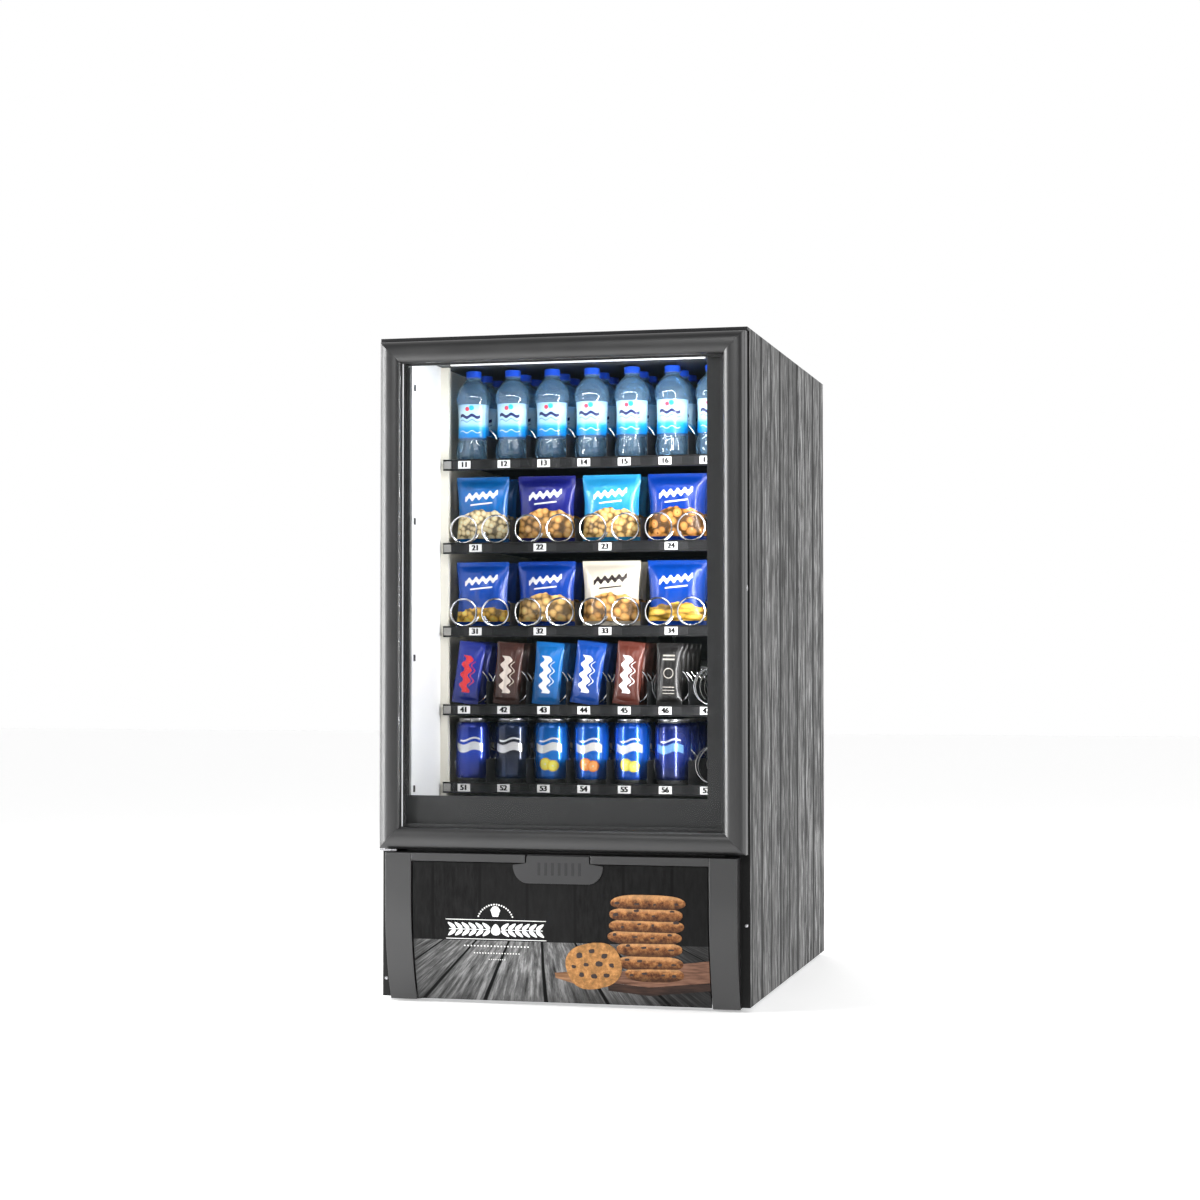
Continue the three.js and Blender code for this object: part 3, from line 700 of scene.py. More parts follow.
# Chips on the leaning biscuit: x, z and half width.
FACE_CHIPS = [
    (36, 92, 6), (58, 100, 5), (80, 92, 5.5), (47, 76, 4.5), (70, 78, 6.5),
    (92, 76, 4.5), (38, 58, 5), (60, 56, 5.5), (82, 58, 5), (25, 72, 4),
]
CHIP = {"sides": 12, "rings": 3}
for number, (x, z, reach) in enumerate(FACE_CHIPS):
    size = (reach, reach * 0.8)
    domed(f"print_chip_face_{number}", (x, z), size, chocolate, 0.5, 1.5, wobble=0.25, seed=number, **CHIP)
dice = random.Random(4)
for number, (x, z, reach) in enumerate(STACK):
    base = 0.95 + 0.08 * number
    for chip in range(4):
        place = (x + reach * (-0.72 + 0.48 * chip + dice.uniform(-0.1, 0.1)), z + dice.uniform(-3, 8))
        size = (dice.uniform(3, 5.5), dice.uniform(1.8, 3))
        domed(f"print_chip_{number}_{chip}", place, size, chocolate, 0.4, base, wobble=0.3, seed=chip, **CHIP)

ink = speckled("print_white", (0.85, 0.85, 0.83), 0.4)


def rule(name, start, stop, z, width):
    """A printed horizontal line."""
    low, high = span(z, width / 2)
    corners = [(high, 0.02), (low, 0.02), (low, 0.2), (high, 0.2)]
    bm = bmesh.new()
    loft(bm, [[on_flap(x, level, lift) for level, lift in corners] for x in (start, stop)])
    return finished(name, bm, ink, "flap")


def dots(name, places, radius):
    """Small printed dots at places of (x, z)."""
    bm = bmesh.new()
    for x, z in places:
        ring = [turned((x, z), radius, 0, angle) for angle in around(10)]
        loft(bm, [[on_flap(a, b, lift) for a, b in ring] for lift in (0.02, 0.2)])
    return finished(name, bm, ink, "flap")


def leaf(x, z, lean, long=8.5, wide=3.3):
    """A pointed oval outline about (x, z)."""
    outline = []
    for angle in around(14):
        a, b = long * cos(angle), wide * sin(angle) * (1 - 0.35 * cos(angle))
        outline.append(turned((x, z), a, b, lean))
    return outline


# A plain emblem: two rules with a garland of leaves between them, a cup, and rows of dots.
EMBLEM = {"x": -112, "half": 90, "upper": 149, "lower": 115.5}
emblem_x, garland_z = EMBLEM["x"], (EMBLEM["upper"] + EMBLEM["lower"]) / 2
for level in ("upper", "lower"):
    rule(f"emblem_rule_{level}", *span(emblem_x, EMBLEM["half"]), EMBLEM[level], 1.2)
for number, (step, side, rise) in enumerate(itertools.product(range(6), (-1, 1), (-1, 1))):
    lean = radians(38) * rise * side + (pi if side < 0 else 0)
    outline = leaf(emblem_x + side * (17 + 12.5 * step), garland_z + 6.2 * rise, lean)
    printed(f"emblem_leaf_{number}", outline, ink, 0.2)
printed("emblem_heart", leaf(emblem_x, garland_z, pi / 2, 10, 8), ink, 0.2)
for side, start, stop in (("left", -84, -14), ("right", 14, 84)):
    rule(f"emblem_stem_{side}", emblem_x + start, emblem_x + stop, garland_z, 1.4)
ARC = {"z": 143, "reach": 33, "from": radians(22), "to": radians(158), "dots": 17}
arc_angles = heights(ARC["from"], ARC["to"], ARC["dots"])
dots("emblem_dots_arc", [turned((emblem_x, ARC["z"]), ARC["reach"], 0, angle) for angle in arc_angles], 1.5)
# Each row of dots: its left end from the middle, pitch, count, height and radius.
DOT_ROWS = {"middle": (57, 6, 20, 103.5, 1.4), "lower": (40, 5, 17, 91, 1.2), "foot": (14, 4, 8, 80, 0.9)}
for row, (reach, pitch, count, z, radius) in DOT_ROWS.items():
    dots(f"emblem_dots_{row}", [(emblem_x - reach + pitch * i, z) for i in range(count)], radius)
CUP = [(-5, 155), (5, 155), (7.5, 163), (9, 166), (5, 172), (0, 173.5), (-5, 172), (-9, 166), (-7.5, 163)]
printed("emblem_cup", [(emblem_x + x, z) for x, z in CUP], ink, 0.2)

# ---------- Handle ----------


def flap_handle():
    """A plate with a narrow head behind the grip, and a foot that rounds off below."""
    top = FLAP["high"]
    half = [(55, top + 13.5), (56, top + 1), (80, top - 3)]
    angles = heights(0.15, pi / 2, 10)
    curve = [(80 - 27 * (1 - cos(a)), top - 3 - 31 * sin(a)) for a in angles]
    side = half + curve
    outline = side + [(-x, z) for x, z in reversed(side)]
    bm = bmesh.new()
    loft(bm, [[(x, y, z) for x, z in outline] for y in (FRONT + 0.2, FRONT + 2.3)])
    bmesh.ops.triangulate(bm, faces=[f for f in bm.faces if len(f.verts) > 4])
    return bm


handle = bevel(finished("handle_plate", flap_handle(), handle_plastic, "flap"), 0.7, 3)
grip_box = ((-53.5, 53.5), (FRONT + 2.4, FRONT + 11), (FLAP["high"] + 1, FLAP["high"] + 13))
grip = slabs("handle_grip", [grip_box], handle_plastic, "flap", 1.5)
for piece in (handle, grip):
    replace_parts(piece, "flap_handle")
rib_y, rib_z = (FRONT + 0.02, FRONT + 0.4), (FLAP["high"] - 20, FLAP["high"] + 2)
ribs = [((-36 + 12 * i, -31 + 12 * i), rib_y, rib_z) for i in range(7)]
slabs("handle_ribs", ribs, black_plastic, "flap", 0.15)

# ---------- Cabinet details ----------

SCREW_HEAD = [(1, 0), (1, 0.5), (0.75, 1.4), (0.2, 1.6)]  # share of the radius, height


def screws(name, places, material, radius=3.2):
    """Pan heads standing on the cabinet's front plane."""
    bm = bmesh.new()
    for x, z in places:
        profile = [(radius * share, FACE - out) for share, out in SCREW_HEAD]
        lathe(bm, profile, 14, centre=(x, z), axis="y")
    return finished(name, bm, material, "cabinet")


screws("edge_screws_right", [(321.5, z) for z in (1006, 589, 476, 147)], bright_steel)
screws("edge_screws_left", [(-321.5, z) for z in (1093, 300, 169, 39)], bright_steel)
# Black sheets on the left wall: painted shade standing for the dark inside of its slots.
slabs(
    "wall_slot_shade_left",
    [((-277.2, -276.6), (-391, -380), span(z, 6)) for z in (1081, 844, 602, 371)],
    digit_black, "cabinet", 0.1,
)

# ---------- Trays: strips, labels and spirals ----------


def centres(layout):
    return [layout["first"] + layout["pitch"] * i for i in range(layout["count"])]


def helix(bm, layout, centre, height, foremost, turns, hand, steps=24, sides=7):
    """A wire coil about the Y axis from the motor to the front, ending in one flat turn."""
    radius, wire = layout["radius"], layout["wire"]
    flat_start = foremost + 3 * wire
    along = Vector((0, 1, 0))
    rings = []
    for wound in heights(0, turns, turns * steps):
        angle = hand * 2 * pi * wound
        if wound < turns - 1:
            y = SPIRAL_REAR + (flat_start - SPIRAL_REAR) * wound / (turns - 1)
        else:
            y = flat_start + (foremost - flat_start) * (wound - turns + 1)
        out = Vector((sin(angle), 0, -cos(angle)))
        middle = Vector((centre, y, height)) + out * radius
        rings.append([middle + (out * cos(a) + along * sin(a)) * wire for a in around(sides)])
    loft(bm, rings)


def spirals(number, layout, floor):
    """The fine coils of one tray. The last channel's turn on their own, in place of the CAD ones."""
    foremost, turns = SPIRAL_FRONTS[number - 1], SPIRAL_TURNS[number - 1]
    height = floor + layout["radius"] + layout["wire"] + 1
    fixed = bmesh.new()
    for i, centre in enumerate(centres(layout)):
        turns_alone = i == layout["count"] - 1
        for side, hand, shift in layout["coils"]:
            x = centre + shift
            bm = bmesh.new() if turns_alone else fixed
            helix(bm, layout, x, height, foremost, turns, hand)
            lathe(bm, COUPLER, 16, centre=(x, height), axis="y")
            if turns_alone:
                node = f"spiral_{number}{side}"
                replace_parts(finished("coil_" + node, bm, bright_wire, node), node)
    finished(f"coils_tray_{number}", fixed, bright_wire, f"tray_{number}")


NUMBER_STYLE = {"size": 13.5, "align_x": "CENTER", "align_y": "CENTER", "extrude": 0.1, "offset": 0.25}


def digits(name, texts, material, body):
    """Plain selection numbers, as flat raised shapes facing forward, each drawn thrice to thicken it."""
    bm = bmesh.new()
    for (text, x, y, z), nudge in itertools.product(texts, (-0.8, 0.0, 0.8)):
        curve = bpy.data.curves.new("number", "FONT")
        curve.body = text
        for setting, value in NUMBER_STYLE.items():
            setattr(curve, setting, value)
        made = placed("number", curve)
        mesh = made.to_mesh()
        for vertex in mesh.vertices:
            across, up, out = vertex.co
            vertex.co = (x + across + nudge, y - out, z + up)
        bm.from_mesh(mesh)
        bpy.data.objects.remove(made)
        bpy.data.curves.remove(curve)
    return finished(name, bm, material, body)


RAIL_HALF, RAIL_TOP = 269.5, 3
RAIL_OUT, RAIL_WEB, RAIL_LIP = 2.6, 1.2, 1.6
LABEL = {"half_wide": 11.75, "half_tall": 7, "aside": 4}
HOLDER = {"half_wide": 26, "half_tall": 7.4}


def strip_profile(floor):
    """The label rail's section: a shallow channel with a lip above and below."""
    y, low, high = TRAY["front"] - 0.2, floor + RAIL_TOP - TRAY["strip"], floor + RAIL_TOP
    steps = [(0, 0), (RAIL_OUT, 0), (RAIL_OUT, RAIL_LIP), (RAIL_WEB, RAIL_LIP + 0.8)]
    lower = [(y - out, low + up) for out, up in steps]
    return lower + [(y - out, high - up) for out, up in reversed(steps)]


def strip(number, layout, floor):
    body = f"tray_{number}"
    bm = bmesh.new()
    loft(bm, [[(x, y, z) for y, z in strip_profile(floor)] for x in span(0, RAIL_HALF)])
    finished(f"label_rail_{number}", bm, black_paint, body, 20)
    middle = floor + RAIL_TOP - TRAY["strip"] / 2
    y = TRAY["front"] - 1.5
    label_z, holder_z = span(middle, LABEL["half_tall"]), span(middle, HOLDER["half_tall"])
    holders, labels, texts = [], [], []
    for i, centre in enumerate(centres(layout), 1):
        at = centre - LABEL["aside"]
        holders.append((span(centre, HOLDER["half_wide"]), (y - 0.7, y), holder_z))
        labels.append((span(at, LABEL["half_wide"]), (y - 1.4, y - 0.8), label_z))
        texts.append((f"{number}{i}", at, y - 1.5, middle))
    slabs(f"label_holders_{number}", holders, holder_grey, body, 0.2)
    slabs(f"labels_{number}", labels, label_white, body, 0.15)
    digits(f"numbers_{number}", texts, digit_black, body)
    catch = ((-268, -254), (y - 1.7, y + 0.1), label_z)
    slabs(f"catch_{number}", [catch], catch_grey, body, 0.6)


for number, (layout, floor) in enumerate(zip(LAYOUTS, TRAY_FLOORS), 1):
    spirals(number, layout, floor)
    strip(number, layout, floor)

# ---------- Goods ----------

TRAY_CLEARANCE = 0.6
BAR = {"tall": 113, "half_wide": 26, "half_tall": 56}


def stock(kind, mesh, tray, places, lean=0):
    """Stands copies of one mesh on a tray at places of (x, y), leaning to the right by some degrees."""
    slope = sin(radians(lean))
    lifted = TRAY_FLOORS[tray - 1] + TRAY_CLEARANCE + BAR["half_wide"] * slope
    for i, (x, y) in enumerate(places):
        place = (x - BAR["half_tall"] * slope, y, lifted)
        piece = from_mesh(f"{kind}_{i}", mesh, f"tray_{tray}", place)
        piece.rotation_euler.y = radians(lean)


def depth_places(xs, first, step, count):
    return [(x, first + step * row) for row in range(count) for x in xs]


# Profiles of (radius, height).
BOTTLE = [
    (2, 6), (12, 3.5), (20, 0.8), (25, 0), (29, 2.2), (31.6, 8), (32.1, 16), (31.9, 24), (30.6, 31),
    (28.4, 36), (26.8, 39), (27, 41.5), (27.9, 43), (27.6, 60), (27.2, 78), (27.8, 96), (28.4, 105),
    (30.6, 107.5), (31.6, 111), (31.8, 117), (30.9, 124), (28.9, 131), (25.8, 137.5), (21.6, 143),
    (17.2, 147.5), (14, 151), (12.6, 154),
    (15.2, 154.6), (15.2, 156), (12.6, 156.4), (12.6, 160),
]

BOTTLE_FEET, BOTTLE_WAIST = 17, 36


def bottle_shape(radius, height, angle):
    """Five feet below, and shallow ribs round the waist."""
    if height < BOTTLE_FEET:
        share = 0.3 * (1 - height / BOTTLE_FEET)
        return radius * (1 - share * (0.5 + 0.5 * cos(5 * angle)) ** 2)
    if height < BOTTLE_WAIST:
        return radius * (1 - 0.09 * (0.5 + 0.5 * cos(10 * angle)))
    return radius


def bottle_mesh():
    bm = bmesh.new()
    lathe(bm, BOTTLE, 60, bottle_shape)
    clear = {"Transmission_Weight": 0.86, "IOR": 1.33, "Coat_Weight": 1.0, "Coat_Roughness": 0.03}
    water = Finish("bottle_water", (0.42, 0.72, 1.0), 0.03, **clear)
    water.bump(water.noise(60, 2), 0.0003, 0.3)
    return mesh_of("bottle", bm, [water.material], 60)


BOTTLE_LABEL = [
    (28.3, 43.5), (28.6, 43.5), (28.3, 60), (27.9, 78), (28.5, 96),
    (29.2, 105), (28.9, 105), (28.2, 96), (27.6, 78), (28, 60),
]
LABEL_FADE = [
    (0.38, (0.0, 0.2, 0.62)), (0.5, (0.0, 0.3, 0.78)), (0.54, (0.02, 0.42, 0.86)),
    (0.6, (0.4, 0.72, 0.93)), (0.8, (0.58, 0.8, 0.94)), (1.0, (0.2, 0.5, 0.85)),
]
# Plain waves of (height, thickness, colour), and berries of (x, height, radius, colour).
LABEL_WAVES = [
    (0.083, 0.0062, (0.004, 0.012, 0.12)),
    (0.0745, 0.0016, (0.02, 0.1, 0.35)),
    (0.0545, 0.0014, (0.9, 0.95, 1.0)),
]
LABEL_BERRIES = [(-0.004, 0.0965, 0.0042, (0.75, 0.06, 0.12)), (0.004, 0.0985, 0.0048, (0.02, 0.5, 0.75))]


def bottle_label_mesh():
    """A printed sleeve round the bottle's waist."""
    bm = bmesh.new()
    rings = [[(r * cos(a), r * sin(a), z) for a in around(48)] for r, z in BOTTLE_LABEL]
    loft(bm, rings, closed=True)
    finish = Finish("bottle_label", (0.6, 0.85, 0.95), 0.35, Coat_Weight=0.5, Coat_Roughness=0.1)
    x, _, z = finish.axes()
    fade = finish.ramp(finish.over(z, 0.115), *LABEL_FADE)
    wave = finish.wave(x, 330.0, 0.0022)
    front = finish.front()
    side = finish.times(front, finish.band(x, -0.019, 0.019))
    for level, thick, color in LABEL_WAVES:
        line = finish.band(finish.minus(z, wave), level - thick / 2, level + thick / 2)
        fade = finish.mix(finish.times(line, side), fade, color)
    for across, level, radius, color in LABEL_BERRIES:
        fade = finish.mix(finish.times(finish.disc((across, level), radius), front), fade, color)
    return mesh_of("bottle_label", bm, [finish.color(fade).material])


BOTTLE_CAP = [
    (13.2, 155.5), (14.2, 156), (14.2, 158), (14, 158.4), (14, 166), (13.2, 167.6), (11, 168), (3, 168),
]
CAP_GRIP = (158.2, 167)


def cap_shape(radius, height, angle):
    grip = CAP_GRIP[0] < height < CAP_GRIP[1]
    return radius + (0.25 * cos(36 * angle) if grip else 0)


def bottle_cap_mesh():
    bm = bmesh.new()
    lathe(bm, BOTTLE_CAP, 72, cap_shape)
    return mesh_of("bottle_cap", bm, [speckled("cap_blue", (0.01, 0.09, 0.75), 0.35)])


bottle_places = depth_places(centres(SINGLE), -198, 75, 4)
stock("bottle", bottle_mesh(), 1, bottle_places)
stock("bottle_label", bottle_label_mesh(), 1, bottle_places)
stock("bottle_cap", bottle_cap_mesh(), 1, bottle_places)

CAN = [
    (4, 4), (18, 3), (22, 0.5), (24, 0), (25.5, 0.6), (28.5, 5), (31, 9), (32.1, 12), (32.3, 15),
    (32.3, 100), (32, 104), (28, 111), (26.6, 114), (26.4, 115.5), (27.2, 116.4), (27.3, 117.4),
    (26.5, 118), (25.8, 117.2), (25.2, 113.4), (24, 112.7), (4, 112.7),
]
CAN_PRINT = (9, 110)
CAN_WALL = 28
CITRUS = [((-0.005, 0.036), 0.0115), ((0.009, 0.033), 0.0105)]


def can_mesh(name, skin):
    bm = bmesh.new()
    lathe(bm, CAN, 56)
    mesh = mesh_of(name, bm, [aluminium, skin])
    for face in mesh.polygons:
        corners = [mesh.vertices[v].co / MM for v in face.vertices]
        height = sum(corner.z for corner in corners) / len(corners)
        reach = max(corner.xy.length for corner in corners)
        face.material_index = int(CAN_PRINT[0] < height < CAN_PRINT[1] and reach > CAN_WALL)
    return mesh


def can_skin(name, base, deep, accent, fruit):
    """Printed metal: a wide and a thin swoosh, and two cut fruits if there is a fruit colour."""
    finish = Finish(name, base, 0.24, 0.55, Coat_Weight=0.6, Coat_Roughness=0.06)
    x, _, z = finish.axes()
    color = finish.ramp(finish.over(z, 0.118), (0.1, deep), (0.55, base), (0.95, deep))
    front = finish.front()
    swayed = finish.minus(z, finish.wave(x, 150.0, 0.003))
    for low, high, left, right, tint in SWOOSHES:
        line = finish.times(finish.band(swayed, low, high), front, finish.band(x, left, right))
        color = finish.mix(line, color, tint or accent)
    if fruit:
        flesh = tuple(min(1, c * 1.3 + 0.12) for c in fruit)
        for (centre, radius), (share, tint) in itertools.product(
            CITRUS, ((1, fruit), (0.78, flesh), (0.18, (0.95, 0.9, 0.6)))
        ):
            color = finish.mix(finish.times(finish.disc(centre, radius * share), front), color, tint)
    return finish.color(color).bump(finish.noise(900, 2), 0.00001).material


# Lower and upper edge, left and right end, and colour. None is the can's own accent.
SWOOSHES = [(0.058, 0.073, -0.024, 0.024, None), (0.078, 0.0815, -0.017, 0.02, (0.9, 0.92, 0.95))]
CANS = [
    ("blue", (0.01, 0.06, 0.55), (0.005, 0.02, 0.25), (0.85, 0.88, 0.92), None),
    ("black", (0.012, 0.014, 0.02), (0.01, 0.03, 0.1), (0.8, 0.8, 0.82), None),
    ("lemon", (0.0, 0.2, 0.72), (0.0, 0.1, 0.45), (0.9, 0.92, 0.9), (0.9, 0.62, 0.02)),
    ("orange", (0.0, 0.14, 0.62), (0.0, 0.07, 0.4), (0.95, 0.92, 0.88), (0.9, 0.24, 0.01)),
    ("tea", (0.0, 0.13, 0.68), (0.0, 0.06, 0.42), (0.92, 0.94, 0.96), (0.85, 0.7, 0.05)),
    ("navy", (0.005, 0.03, 0.3), (0.004, 0.01, 0.07), (0.2, 0.45, 0.85), None),
]
for x, (kind, *colors) in zip(centres(SINGLE), CANS):
    can = can_mesh(f"can_{kind}", can_skin(f"can_skin_{kind}", *colors))
    stock(f"can_{kind}", can, 5, depth_places([x], -196, 75, 5))


# Each crease in a bag: across, up, slope and size.
CREASE_SPANS = [(-1, 1), (0, 1), (-0.6, 0.6), (0.5, 1.4)]


def pillow(name, width, height, thick, material, seal, pinch, seed, columns=26, rows=34):
    """A filled bag: full in the middle, with flat crimped seals at its top and bottom."""
    dice = random.Random(seed)
    creases = [[dice.uniform(*span) for span in CREASE_SPANS] for _ in range(14)]

    def thickness(u, v):
        inner = (v * height - seal) / (height - 2 * seal)
        if not 0 < inner < 1:
            return 0.5 + 0.25 * sin(v * height * 2.6)
        full = sin(pi * inner) ** 0.55 * (1 - abs(u) ** 2.6) ** 0.6
        dents = 0.0
        for cu, cv, slope, size in creases:
            distance = (u - cu) * cos(slope) + (v - cv) * sin(slope)
            fade = exp(-((u - cu) ** 2 + (v - cv) ** 2) * 3)
            dents += size * exp(-((distance * 9) ** 2)) * fade
        return 0.5 + max(0.0, thick / 2 * full - dents * (0.4 + 0.6 * full))

    def half_width(v):
        return width / 2 * (1 - pinch * sin(pi * v) ** 2)

    bm = bmesh.new()
    grid = {}
    for side in (-1, 1):
        for r in range(rows + 1):
            v = r / rows
            for c in range(columns + 1):
                u = -1 + 2 * c / columns
                on_edge = abs(u) == 1
                if side == 1 and on_edge:
                    grid[side, r, c] = grid[-1, r, c]
                    continue
                y = side * (0.0 if on_edge else thickness(u, v))
                grid[side, r, c] = bm.verts.new((u * half_width(v), y, v * height))
        for r in range(rows):
            for c in range(columns):
                corners = [grid[side, r + up, c + along] for up, along in ((0, 0), (0, 1), (1, 1), (1, 0))]
                bm.faces.new(corners if side < 0 else corners[::-1])
    for r in (0, rows):
        edge = [grid[-1, r, c] for c in range(columns + 1)]
        edge += [grid[1, r, c] for c in range(columns - 1, 0, -1)]
        bm.faces.new(edge if r else edge[::-1])
    return mesh_of(name, bm, [material], 50)


def scaled(color, factor, lift=0.0):
    return tuple(min(1, c * factor + lift) for c in color)


def foil_marks(finish, style, tall, accent, color):
    """Lays plain marks over a bag's front, where words would be."""
    x, _, z = finish.axes()
    front = finish.front()

    def mark(across, along, low, high, start, stop):
        shape = finish.times(finish.band(across, low, high), finish.band(along, start, stop))
        return finish.mix(finish.times(shape, front), color, accent)

    if style == "waves":
        rise = finish.times(x, 0.1)
        wavy = finish.minus(z, finish.plus(finish.wave(x, 480.0, 0.003), rise))
        color = mark(wavy, x, tall * 0.68, tall * 0.76, -0.031, 0.031)
        color = mark(finish.minus(z, rise), x, tall * 0.585, tall * 0.61, -0.02, 0.022)
    if style == "upright":
        wavy = finish.minus(x, finish.wave(z, 330.0, 0.0036))
        color = mark(wavy, z, -0.0105, 0.0045, tall * 0.18, tall * 0.78)
        color = mark(wavy, z, 0.0085, 0.0105, tall * 0.3, tall * 0.7)
    if style == "fine":
        for level, thick in ((0.80, 0.014), (0.74, 0.014), (0.30, 0.008), (0.25, 0.008), (0.20, 0.008)):
            color = mark(z, x, tall * (level - thick), tall * (level + thick), -0.011, 0.011)
        middle = (0, tall * 0.52)
        hoop = finish.minus(finish.disc(middle, 0.0095), finish.disc(middle, 0.008))
        color = finish.mix(finish.times(hoop, front), color, accent)
    return color


def foil_food(finish, food, tall, color, top=0.5, lean=0.0, grain=(1, 1, 1), ringed=False):
    """Lays a heap of food over the lower part of a bag's front."""
    x, _, z = finish.axes()
    front = finish.front()
    slanted = finish.add("Mapping", Vector=finish.place(), Rotation=(0, lean, 0), Scale=grain).outputs[0]
    cells = finish.add("TexVoronoi", Vector=slanted, Scale=88.0, Randomness=0.85)
    pale, gap = scaled(food, 1.5, 0.06), scaled(food, 0.14)
    stops = ((0.18, pale), (0.48, food), (0.62, scaled(food, 0.45)), (0.74, gap))
    if ringed:
        stops = ((0.1, gap), (0.2, pale), (0.5, food), (0.64, gap))
    pieces = finish.ramp(cells.outputs["Distance"], *stops)
    toast = finish.add("SeparateXYZ", Vector=cells.outputs["Color"]).outputs["X"]
    pieces = finish.mix(finish.times(toast, 0.25), pieces, scaled(food, 0.5))
    edge = finish.times(finish.minus(finish.noise(45, 2), 0.5), tall * 0.22)
    bulge = finish.times(finish.math("POWER", finish.math("ABSOLUTE", x), 2.0), 4.0)
    under = finish.math("LESS_THAN", finish.plus(z, edge), finish.minus(tall * top, bulge))
    over = finish.math("GREATER_THAN", z, tall * 0.09)
    return finish.mix(finish.times(under, over, front), color, pieces)


def foil(name, base, height, accent, style="waves", roughness=0.25, food=None, **heap):
    """Printed film: a ground colour, plain marks where words would be, and a heap of food below."""
    finish = Finish(name, base, roughness, 0.1, Coat_Weight=0.35, Coat_Roughness=0.12)
    tall = height * MM
    rise = finish.over(finish.axes()["Z"], tall)
    color = finish.ramp(rise, (0.0, scaled(base, 0.6)), (0.6, base), (1.0, scaled(base, 1.25)))
    color = foil_marks(finish, style, tall, accent, color)
    if food:
        color = foil_food(finish, food, tall, color, **heap)
    wrinkles = finish.color(color).noise(46, 5, (1, 1, 0.5), 0.6)
    return finish.bump(wrinkles, 0.003, 0.7).material


GOLD, BISCUIT, PRETZEL, CHEESE = (0.86, 0.5, 0.16), (0.8, 0.4, 0.11), (0.62, 0.26, 0.05), (0.9, 0.5, 0.06)
POPPED, WHITE, DARK = (0.95, 0.74, 0.4), (0.92, 0.93, 0.95), (0.03, 0.02, 0.02)
BAGS = {
    2: [
        ("popcorn", (0.0, 0.12, 0.42), POPPED, WHITE, {"grain": (1.25, 1, 1.25)}),
        ("cracker", (0.008, 0.012, 0.2), BISCUIT, WHITE, {}),
        ("rice", (0.02, 0.3, 0.62), GOLD, WHITE, {"grain": (1.2, 1, 1.2)}),
        ("pretzel", (0.0, 0.035, 0.3), PRETZEL, WHITE, {"ringed": True, "grain": (0.8, 1, 0.8)}),
    ],
    3: [
        ("corn", (0.0, 0.06, 0.4), CHEESE, WHITE, {"top": 0.3}),
        ("puff", (0.0, 0.045, 0.36), GOLD, WHITE, {"grain": (0.8, 1, 0.9)}),
        ("sesame", (0.72, 0.66, 0.55), BISCUIT, DARK, {"grain": (0.85, 1, 0.85)}),
        ("stick", (0.0, 0.05, 0.36), CHEESE, WHITE, {"top": 0.36, "lean": 0.9, "grain": (0.35, 1, 1.3)}),
    ],
}
for tray, bags in BAGS.items():
    height = 124 if tray == 2 else 120
    for i, (kind, base, food, accent, heap) in enumerate(bags):
        skin = foil(f"foil_{kind}", base, height, accent, food=food, **heap)
        bag = pillow(f"bag_{kind}", 108 if i else 100, height, 34, skin, 9, 0.07, seed=tray * 10 + i)
        stock(f"bag_{kind}", bag, tray, depth_places([centres(DOUBLE)[i]], -209, 57, 4))

BARS = [
    ("berry", (0.004, 0.02, 0.28), (0.75, 0.02, 0.03), 50, 8),
    ("cocoa", (0.06, 0.02, 0.015), (0.8, 0.7, 0.62), 50, 5),
    ("cream", (0.0, 0.15, 0.5), WHITE, 52, 5),
    ("coconut", (0.0, 0.06, 0.36), WHITE, 54, 8),
    ("rice", (0.12, 0.026, 0.016), WHITE, 50, 6),
    ("dark", (0.007, 0.006, 0.006), (0.45, 0.42, 0.38), 48, 1),
]
for i, (kind, base, accent, width, lean) in enumerate(BARS):
    style = "fine" if kind == "dark" else "upright"
    skin = foil(f"wrap_{kind}", base, BAR["tall"], accent, style, 0.3)
    bar = pillow(f"bar_{kind}", width, BAR["tall"], 20, skin, 8, 0.03, seed=60 + i, columns=20)
    stock(f"bar_{kind}", bar, 4, depth_places([centres(SINGLE)[i]], -226.5, 41.6, 5), lean)

# ---------- Camera, light and floor ----------


def soft_light(name, place, target, size, power, color=(1, 1, 1)):
    data = bpy.data.lights.new(name, "AREA")
    data.shape = "RECTANGLE"
    data.size, data.size_y = size
    data.energy = power
    data.color = color
    light = placed(name, data)
    light.location = place
    light.rotation_euler = (Vector(target) - Vector(place)).to_track_quat("-Z", "Y").to_euler()


CAMERA = {"place": (1.053, -4.402, 0.5881), "yaw": 13.87, "pitch": 1.581, "lens": 71.5}
data = bpy.data.cameras.new("camera")
data.lens = CAMERA["lens"]
data.sensor_width = 36
camera = placed("camera", data)
camera.location = CAMERA["place"]
camera.rotation_euler = (radians(90 + CAMERA["pitch"]), 0, radians(CAMERA["yaw"]))
bpy.context.scene.camera = camera

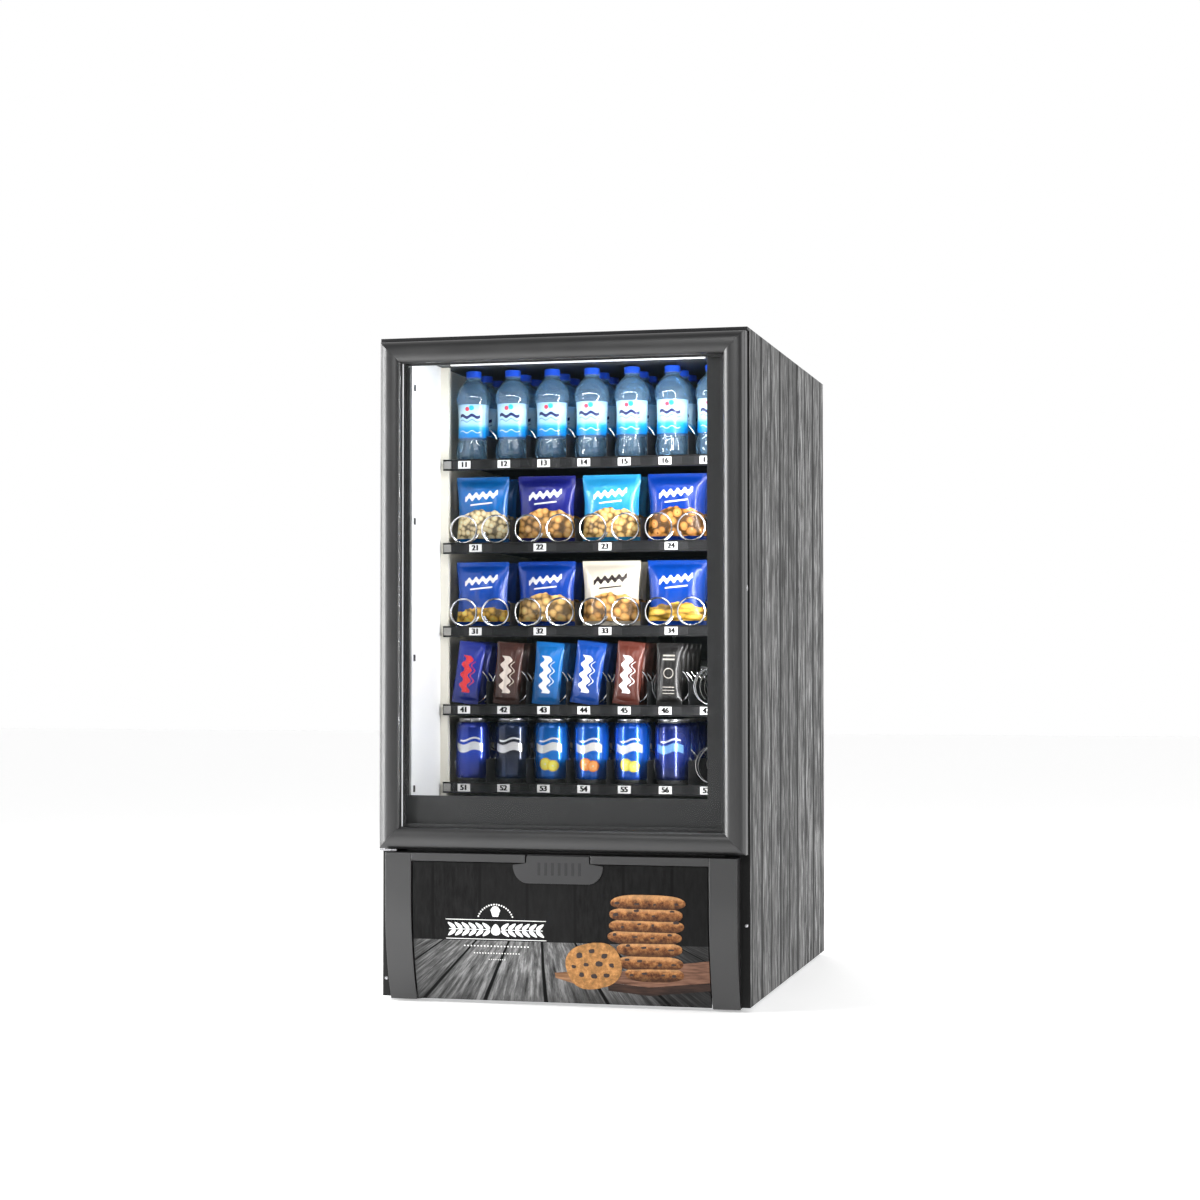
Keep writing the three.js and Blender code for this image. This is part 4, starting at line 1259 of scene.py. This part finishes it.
# Name, place, target, size and power of each light.
LIGHTS = [
    ("right_softbox", (3.4, -0.4, 1.5), (0.3, 0, 0.6), (2.2, 2.6), 40),
    ("left_softbox", (-2.8, -1.3, 1.0), (0, -0.4, 0.6), (0.7, 2.4), 80),
    ("left_strip", (-1.7, -1.7, 0.8), (0.1, -0.4, 0.7), (0.2, 1.6), 38),
    ("left_rim", (-2.6, 0.5, 1.0), (-0.3, -0.4, 0.6), (0.6, 2.4), 30),
    ("front_softbox", (0.6, -4.6, 2.6), (0, -0.4, 0.5), (2.4, 1.2), 55),
    ("rear_softbox", (-1.5, 3.2, 2.2), (0, 0.3, 0.6), (2.4, 2.0), 40),
    ("cell_top", (0, -0.385, 1.13), (0, -0.3, 0.6), (0.5, 0.02), 1.2, (0.95, 0.98, 1.0)),
    ("cell_side", (0.262, -0.39, 0.74), (-0.28, -0.34, 0.74), (0.02, 0.74), 4.0),
]
for light in LIGHTS:
    soft_light(*light)

bpy.context.scene.view_settings.view_transform = "Standard"
# The studio is white behind the machine and darker in front, so that the glass stays clear.
world = bpy.data.worlds.new("studio")
bpy.context.scene.world = world
world.use_nodes = True
sky = world.node_tree
background = sky.nodes["Background"]
background.inputs["Color"].default_value = (1, 1, 1, 1)
direction = sky.nodes.new("ShaderNodeTexCoord")
split = sky.nodes.new("ShaderNodeSeparateXYZ")
fade = sky.nodes.new("ShaderNodeMapRange")
for socket, value in (("From Min", -0.6), ("From Max", 0.5), ("To Min", 0.15)):
    fade.inputs[socket].default_value = value
sky.links.new(direction.outputs["Generated"], split.inputs[0])
sky.links.new(split.outputs["Y"], fade.inputs["Value"])
sky.links.new(fade.outputs[0], background.inputs["Strength"])

FLOOR_REACH = (-16000, 16000)
bm = bmesh.new()
slab(bm, FLOOR_REACH, FLOOR_REACH, (-20, 0))
glow = {"Emission_Color": (1, 1, 1, 1), "Emission_Strength": 0.4}
floor_pale = speckled("floor_pale", (0.84, 0.84, 0.84), 0.6, vary=0.01, **glow)
placed("floor", mesh_of("floor", bm, [floor_pale]))
